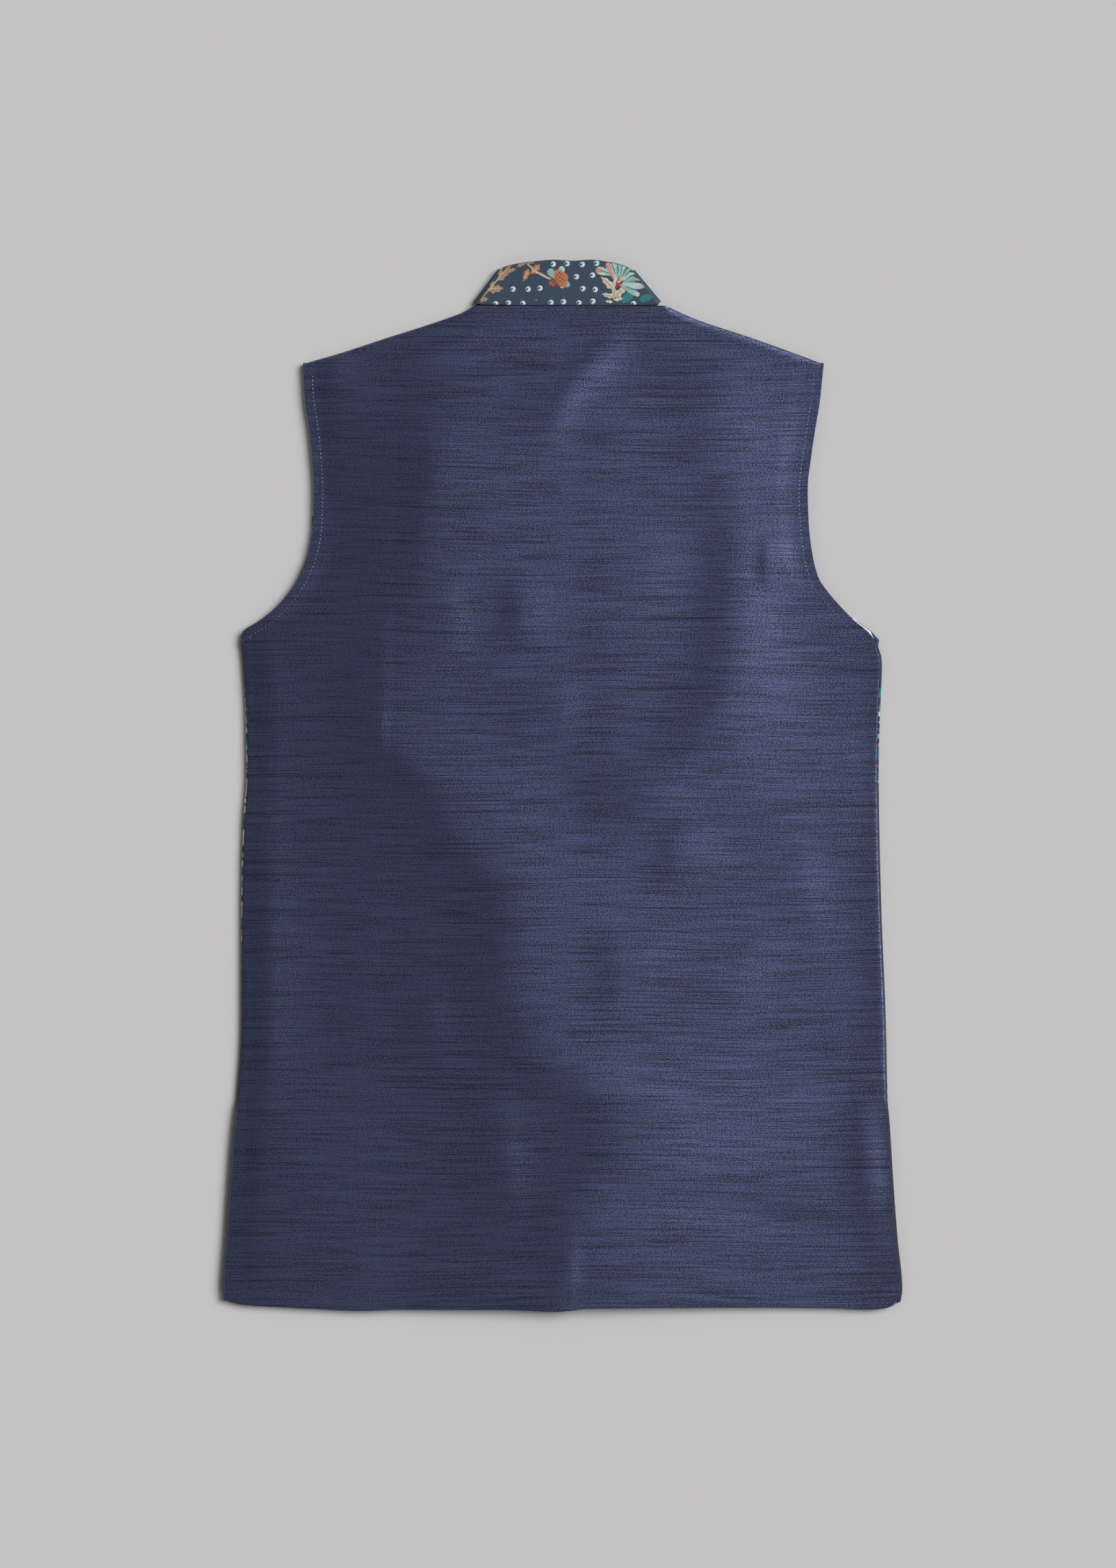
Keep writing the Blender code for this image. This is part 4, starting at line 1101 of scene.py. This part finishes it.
def add_node(material, kind, inputs=None, **settings):
    """Adds a node. Its settings are its own properties, and its inputs are numbers or other outputs."""
    made = material.node_tree.nodes.new("ShaderNode" + kind)
    for name, value in settings.items():
        setattr(made, name, value)
    for place, value in (inputs or {}).items():
        if isinstance(value, bpy.types.NodeSocket):
            plug(material, value, made.inputs[place])
        else:
            made.inputs[place].default_value = value
    return made.outputs


def streaks(material, place, length, width, detail=1.0, seed=0.0):
    """Noise drawn out along the weft, its grain given in millimetres."""
    size = (1 / (length * MM), 1 / (width * MM), 1.0)
    grain = add_node(material, "Mapping", {"Vector": place, "Scale": size, "Location": (seed, seed, seed)})
    inputs = {"Vector": grain[0], "Scale": 1.0, "Detail": detail}
    return add_node(material, "TexNoise", inputs, noise_dimensions="2D")["Fac"]


def finish(material, shader, colour, roughness, relief=None, strength=0.3, depth=0.1):
    """Gives a shader its colour, its gloss and its fine relief, whose depth is in millimetres."""
    plug(material, colour, shader.inputs["Base Color"])
    shader.inputs["Roughness"].default_value = roughness
    if relief is not None:
        inputs = {"Height": relief, "Strength": strength, "Distance": depth * MM}
        plug(material, add_node(material, "Bump", inputs)[0], shader.inputs["Normal"])


def weft(material, flat):
    """The silk's weft, yarns side by side and speckled by the warp, and its slubs, thick soft dark lines."""
    size, shift = YARN_DRIFT
    inputs = {"Vector": flat, "Scale": size, "Detail": 0.0}
    drift = add_node(material, "TexNoise", inputs, noise_dimensions="2D")["Color"]
    inputs = {0: drift, 1: (0.0, shift, 0.0), 2: flat}
    pulled = add_node(material, "VectorMath", inputs, operation="MULTIPLY_ADD")[0]
    places = {"pulled": pulled, "flat": flat}
    threads = streaks(material, pulled, *YARN)
    for place, pattern, share in YARN_ROWS:
        inputs = {0: streaks(material, places[place], *pattern), 1: share, 2: threads}
        threads = add_node(material, "Math", inputs, operation="MULTIPLY_ADD")[0]
    slubs = []
    for pattern, (start, end) in SLUB_ROWS:
        inputs = {"Value": streaks(material, pulled, *pattern), "From Min": start, "From Max": end}
        slubs.append(add_node(material, "MapRange", inputs)["Result"])
    return threads, add_node(material, "Math", dict(enumerate(slubs)), operation="MAXIMUM")[0]


def painted_side_shade(material, flat):
    """Painted shade along the sides: a factor that darkens the silk's colour towards its side edges."""
    across = add_node(material, "SeparateXYZ", {0: flat})["X"]
    beside = add_node(material, "Math", {0: across}, operation="ABSOLUTE")[0]
    inputs = {"Value": beside, "From Min": PAINTED_SHADE_START * MM, "From Max": PAINTED_SHADE_END * MM}
    inputs |= {"To Min": 1.0, "To Max": PAINTED_SIDE_SHADE}
    return add_node(material, "MapRange", inputs)["Result"]


def dupion_material():
    """Dupion silk: a crisp plain weave of fine warp and slubbed weft, whose sheen turns with every slope."""
    made, shader = new_material("dupion_silk_navy")
    flat = add_node(made, "UVMap", uv_map="cloth")["UV"]
    threads, slubs = weft(made, flat)
    start, end = YARN_RANGE
    light = add_node(made, "MapRange", {"Value": threads, "From Min": start, "From Max": end})["Result"]
    inputs = {"Factor": light, 6: linear("#222636"), 7: linear("#6b74a0")}
    colour = add_node(made, "Mix", inputs, data_type="RGBA")[2]
    depth = add_node(made, "Math", {0: slubs, 1: SLUB_DARK}, operation="MULTIPLY")[0]
    inputs = {"Factor": depth, 6: colour, 7: linear("#1c1f2e")}
    colour = add_node(made, "Mix", inputs, data_type="RGBA")[2]
    # Painted shade: the colour darkens towards the sides.
    inputs = {0: colour, 3: painted_side_shade(made, flat)}
    colour = add_node(made, "VectorMath", inputs, operation="SCALE")[0]
    # The bright yarns shine like metal; the dark ones and the slubs are nearly matt.
    shine = add_node(made, "Math", {0: depth, 1: SLUB_MATT, 2: light}, operation="MULTIPLY_ADD")[0]
    matt, shiny = YARN_SHINE
    metal = add_node(made, "MapRange", {"Value": shine, "To Min": matt, "To Max": shiny})["Result"]
    plug(made, metal, shader.inputs["Metallic"])
    shader.inputs["Anisotropic"].default_value = 0.65
    shader.inputs["Anisotropic Rotation"].default_value = 0.25
    along = add_node(made, "Tangent", direction_type="UV_MAP", uv_map="cloth")[0]
    plug(made, along, shader.inputs["Tangent"])
    relief = add_node(made, "Math", {0: slubs, 1: SLUB_HEIGHT, 2: threads}, operation="MULTIPLY_ADD")[0]
    finish(made, shader, colour, 0.45, relief, strength=0.3, depth=0.12)
    return made


def painted_edge_shade_material():
    """Painted shade along the silk's turned edge: a thin dark brownish line, unevenly dark in small patches.
    """
    made, shader = new_material("dupion_painted_edge_shade")
    place = add_node(made, "TexCoord")["Object"]
    patches = add_node(made, "TexNoise", {"Vector": place, "Scale": 1 / (3.0 * MM), "Detail": 2.0})["Fac"]
    shades = {"Factor": patches, 6: linear("#1f1f2e"), 7: linear("#3b3846")}
    finish(made, shader, add_node(made, "Mix", shades, data_type="RGBA")[2], 0.7)
    return made


def printed_crescents(material, flat, parts):
    """The print's crescents, 4 mm wide: where they lie, and their tint, aqua at the rim, else pearl."""
    inputs = {"Vector": flat, "Scale": 1 / (CRESCENT_REPEAT * MM), "Randomness": 0.3}
    middles = add_node(material, "TexVoronoi", inputs, voronoi_dimensions="2D")["Position"]
    off = add_node(material, "VectorMath", {0: flat, 1: middles}, operation="SUBTRACT")[0]
    notch = [place * MM for place in (*NOTCH_AT, 0.0)]
    notch_off = add_node(material, "VectorMath", {0: off, 1: notch}, operation="SUBTRACT")[0]
    # The collar's back half has its crescents as shapes of their own, so here they end below it.
    inputs = {0: parts["Y"], 1: (BACK_NECK - MIDDLE_HEIGHT) * MM}
    pearl = add_node(material, "Math", inputs, operation="LESS_THAN")[0]
    crescent, hole = (off, CRESCENT_RADIUS, -CRESCENT_EDGE), (notch_off, NOTCH_RADIUS, CRESCENT_EDGE)
    for vector, radius, edge in (crescent, hole):
        far = add_node(material, "VectorMath", {0: vector}, operation="LENGTH")["Value"]
        inputs = {"Value": far, "From Min": radius * MM, "From Max": (radius + edge) * MM}
        mask = add_node(material, "MapRange", inputs)["Result"]
        pearl = add_node(material, "Math", {0: pearl, 1: mask}, operation="MULTIPLY")[0]
    up = add_node(material, "SeparateXYZ", {0: off})["Y"]
    start, end = CRESCENT_RIM
    inputs = {"Value": up, "From Min": start * MM, "From Max": end * MM}
    lit = add_node(material, "MapRange", inputs)["Result"]
    inputs = {"Factor": lit, 6: linear(INKS["aqua"]), 7: linear(INKS["pearl"])}
    return pearl, add_node(material, "Mix", inputs, data_type="RGBA")[2]


def side_bits(material, place, parts):
    """Small bits of many inks where the fronts' sides show past the back: where they lie, and their ink."""
    inputs = {"Vector": place, "Scale": 1 / (BIT_SIZE * MM)}
    bits = add_node(material, "TexVoronoi", inputs, voronoi_dimensions="3D")["Color"]
    pick = add_node(material, "SeparateXYZ", {0: bits})["X"]
    # Close below the underarms only the ground shows.
    inputs = {0: parts["Y"], 1: (BITS_TOP - MIDDLE_HEIGHT) * MM}
    low = add_node(material, "Math", inputs, operation="LESS_THAN")[0]
    pick = add_node(material, "Math", {0: pick, 1: low}, operation="MULTIPLY")[0]
    palette = add_node(material, "ValToRGB", {0: pick})[0]
    ramp = palette.node.color_ramp
    ramp.interpolation = "CONSTANT"
    for start, ink in BIT_INKS:
        ramp.elements.new(start).color = linear(INKS[ink])
    for element in (ramp.elements[0], ramp.elements[-1]):
        element.color = linear(INKS["ground"])
    beside = add_node(material, "Math", {0: parts["X"]}, operation="ABSOLUTE")[0]
    outside = add_node(material, "Math", {0: beside, 1: BITS_START * MM}, operation="GREATER_THAN")[0]
    rolled = add_node(material, "Math", {0: parts["Z"], 1: BITS_Z * MM}, operation="GREATER_THAN")[0]
    return add_node(material, "Math", {0: outside, 1: rolled}, operation="MULTIPLY")[0], palette


def print_material():
    """Printed brocade: a matt teal navy ground, pearl crescents all over and bits of print at the sides."""
    made, shader = new_material("printed_brocade_ground")
    flat = add_node(made, "UVMap", uv_map="cloth")["UV"]
    place = add_node(made, "TexCoord")["Object"]
    parts = add_node(made, "SeparateXYZ", {0: place})
    ground = streaks(made, flat, 1.2, 0.8, detail=2.0)
    inputs = {"Factor": ground, 6: linear("#1a2c3e"), 7: linear("#2a4358")}
    colour = add_node(made, "Mix", inputs, data_type="RGBA")[2]
    for mask, tint in (printed_crescents(made, flat, parts), side_bits(made, place, parts)):
        colour = add_node(made, "Mix", {"Factor": mask, 6: colour, 7: tint}, data_type="RGBA")[2]
    finish(made, shader, colour, 0.6, ground)
    return made


def ink_material():
    """Print ink on the brocade: matt, a little uneven over the weave, in the colour of each shape."""
    made, shader = new_material("print_ink")
    ink = add_node(made, "Attribute", attribute_name="ink")["Color"]
    place = add_node(made, "TexCoord")["Object"]
    wear = add_node(made, "TexNoise", {"Vector": place, "Scale": 1 / (1.2 * MM), "Detail": 2.0})["Fac"]
    inputs = {"Value": wear, "From Min": 0.3, "From Max": 0.7, "To Min": 0.72, "To Max": 1.08}
    shade = add_node(made, "MapRange", inputs)["Result"]
    finish(made, shader, add_node(made, "VectorMath", {0: ink, 3: shade}, operation="SCALE")[0], 0.65, wear)
    return made


def thread_material():
    """Silk topstitching thread, a pale greyish blue with a soft shine on its round back."""
    made, shader = new_material("topstitch_thread")
    place = add_node(made, "TexCoord")["Object"]
    twist = add_node(made, "TexNoise", {"Vector": place, "Scale": 1 / (0.4 * MM), "Detail": 1.0})["Fac"]
    shades = {"Factor": twist, 6: linear("#6d7496"), 7: linear("#b3b9d4")}
    finish(made, shader, add_node(made, "Mix", shades, data_type="RGBA")[2], 0.4)
    return made


def brass_material():
    """Antique brass, cast and tumbled: warm, its patina darker and lighter in random patches."""
    made, shader = new_material("antique_brass")
    place = add_node(made, "TexCoord")["Object"]
    patina = add_node(made, "TexNoise", {"Vector": place, "Scale": 1 / (2.5 * MM), "Detail": 4.0})["Fac"]
    shades = {"Factor": patina, 6: linear("#6b5636"), 7: linear("#a98d5c")}
    colour = add_node(made, "Mix", shades, data_type="RGBA")[2]
    finish(made, shader, colour, 0.4, patina, strength=0.2, depth=0.05)
    shader.inputs["Metallic"].default_value = 1.0
    rough = add_node(made, "MapRange", {"Value": patina, "To Min": 0.3, "To Max": 0.5})["Result"]
    plug(made, rough, shader.inputs["Roughness"])
    return made


def satin_material():
    """Lining satin: a smooth pale lilac weave with long floats, so it shines softly."""
    made, shader = new_material("lining_satin_lilac")
    flat = add_node(made, "UVMap", uv_map="cloth")["UV"]
    floats = streaks(made, flat, 0.5, 9.0)
    shades = {"Factor": floats, 6: linear("#c9c4dc"), 7: linear("#ebe8f4")}
    colour = add_node(made, "Mix", shades, data_type="RGBA")[2]
    finish(made, shader, colour, 0.35, floats, strength=0.15, depth=0.05)
    return made


def paper_material():
    """Seamless backdrop paper, matt and pale grey."""
    made, shader = new_material("backdrop_paper")
    shader.inputs["Base Color"].default_value = linear("#c9c7c8")
    shader.inputs["Roughness"].default_value = 0.95
    shader.inputs["Specular IOR Level"].default_value = 0.1
    return made


def add_stage():
    """A plain pale floor, one broad soft light from the upper right, and dim walls all round."""
    bpy.ops.object.select_all(action="DESELECT")
    bpy.ops.mesh.primitive_plane_add(size=FLOOR_SIZE, location=(0.0, 0.0, FLOOR_Z * MM))
    floor = bpy.context.object
    floor.name = "floor"
    floor.data.materials.append(paper_material())
    bpy.ops.object.light_add(type="SUN", location=KEY_FROM)
    key = bpy.context.object
    key.name = "key"
    key.data.energy, key.data.angle = KEY_STRENGTH, math.radians(KEY_BREADTH)
    key.rotation_euler = key.location.to_track_quat("Z", "Y").to_euler()
    world = bpy.data.worlds.new("studio")
    world.use_nodes = True
    up = add_node(world, "SeparateXYZ", {0: add_node(world, "TexCoord")["Generated"]})["Z"]
    steep = add_node(world, "Math", {0: up, 1: up}, operation="MULTIPLY")[0]
    inputs = {0: steep, 1: CEILING_LIGHT - WALL_LIGHT, 2: WALL_LIGHT}
    strength = add_node(world, "Math", inputs, operation="MULTIPLY_ADD")[0]
    room = world.node_tree.nodes["Background"]
    room.inputs["Color"].default_value = linear("#ffffff")
    plug(world, strength, room.inputs["Strength"])
    bpy.context.scene.world = world
    bpy.context.scene.view_settings.view_transform = "Standard"


def add_camera():
    """Straight above, as in the photograph, far enough for its flat perspective."""
    x, y = (place * MM for place in VIEW_MIDDLE)
    bpy.ops.object.camera_add(location=(x, y, CAMERA_DISTANCE + VIEW_PLANE * MM), rotation=(0.0, 0.0, 0.0))
    camera = bpy.context.object
    camera.data.sensor_width = SENSOR
    camera.data.lens = SENSOR * CAMERA_DISTANCE / (VIEW_LONG_SIDE * MM)
    bpy.context.scene.camera = camera


def darken_sides(back):
    """Gives the painted edge shade's material to the faces along the back's two sides, below the underarms.
    """
    middles = np.zeros(3 * len(back.data.polygons))
    back.data.polygons.foreach_get("center", middles)
    x, height = middles.reshape(-1, 3)[:, :2].T / MM
    height = height + MIDDLE_HEIGHT
    room = np.minimum(x - side_edge(height, "left"), side_edge(height, "right") - x)
    edge_shaded = np.array([face.material_index for face in back.data.polygons])
    edge_shaded[(room < SHADED_EDGE_WIDTH) & (height < UNDERARM[1])] = 1
    back.data.polygons.foreach_set("material_index", edge_shaded)


def add_panels():
    """The five cloth panels and the collar, each in its solid's place."""
    dupion, printed, satin = dupion_material(), print_material(), satin_material()
    # The back's rims and soft edges, and the faces along its sides, take a painted dark edge shade.
    back = add_sheet("back_panel", back_grid(), CLOTH, dupion, edge_material=painted_edge_shade_material())
    darken_sides(back)
    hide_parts("back")
    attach(back, "root")
    for side in SIDES:
        grid, last = front_grid(side)
        front = add_sheet(f"{side}_front_panel", grid, CLOTH, printed)
        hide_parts(f"{side}_front")
        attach(front, "root")
        lining = add_sheet(f"{side}_lining_panel", lining_grid(side, grid, last), LINING_CLOTH, satin)
        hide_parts(f"{side}_lining")
        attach(lining, "root")
    band = band_grid()
    collar = add_sheet("collar_band", band, COLLAR_CLOTH, printed, places=cloth_places(band))
    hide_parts("collar")
    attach(collar, "root")


def add_trims():
    """The print, the topstitching and the buttons."""
    ink = ink_material()
    prints = [add_print("collar_print", list(COLLAR_ROWS) + collar_crescents(), on_collar, 1.0, ink)]
    for side in SIDES:
        prints.append(add_print(f"{side}_front_print", front_placing(), on_front(side), -1.0, ink))
    for piece in prints:
        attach(piece, "root")
    thread, brass = thread_material(), brass_material()
    for side in SIDES:
        stitches = add_stitches(side, thread)
        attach(stitches, "root")
    for number, height in enumerate(BUTTON_HEIGHTS, start=1):
        button = add_button(number, height, brass)
        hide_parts(f"button_{number}")
        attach(button, "root")


add_panels()
add_trims()
add_stage()
add_camera()
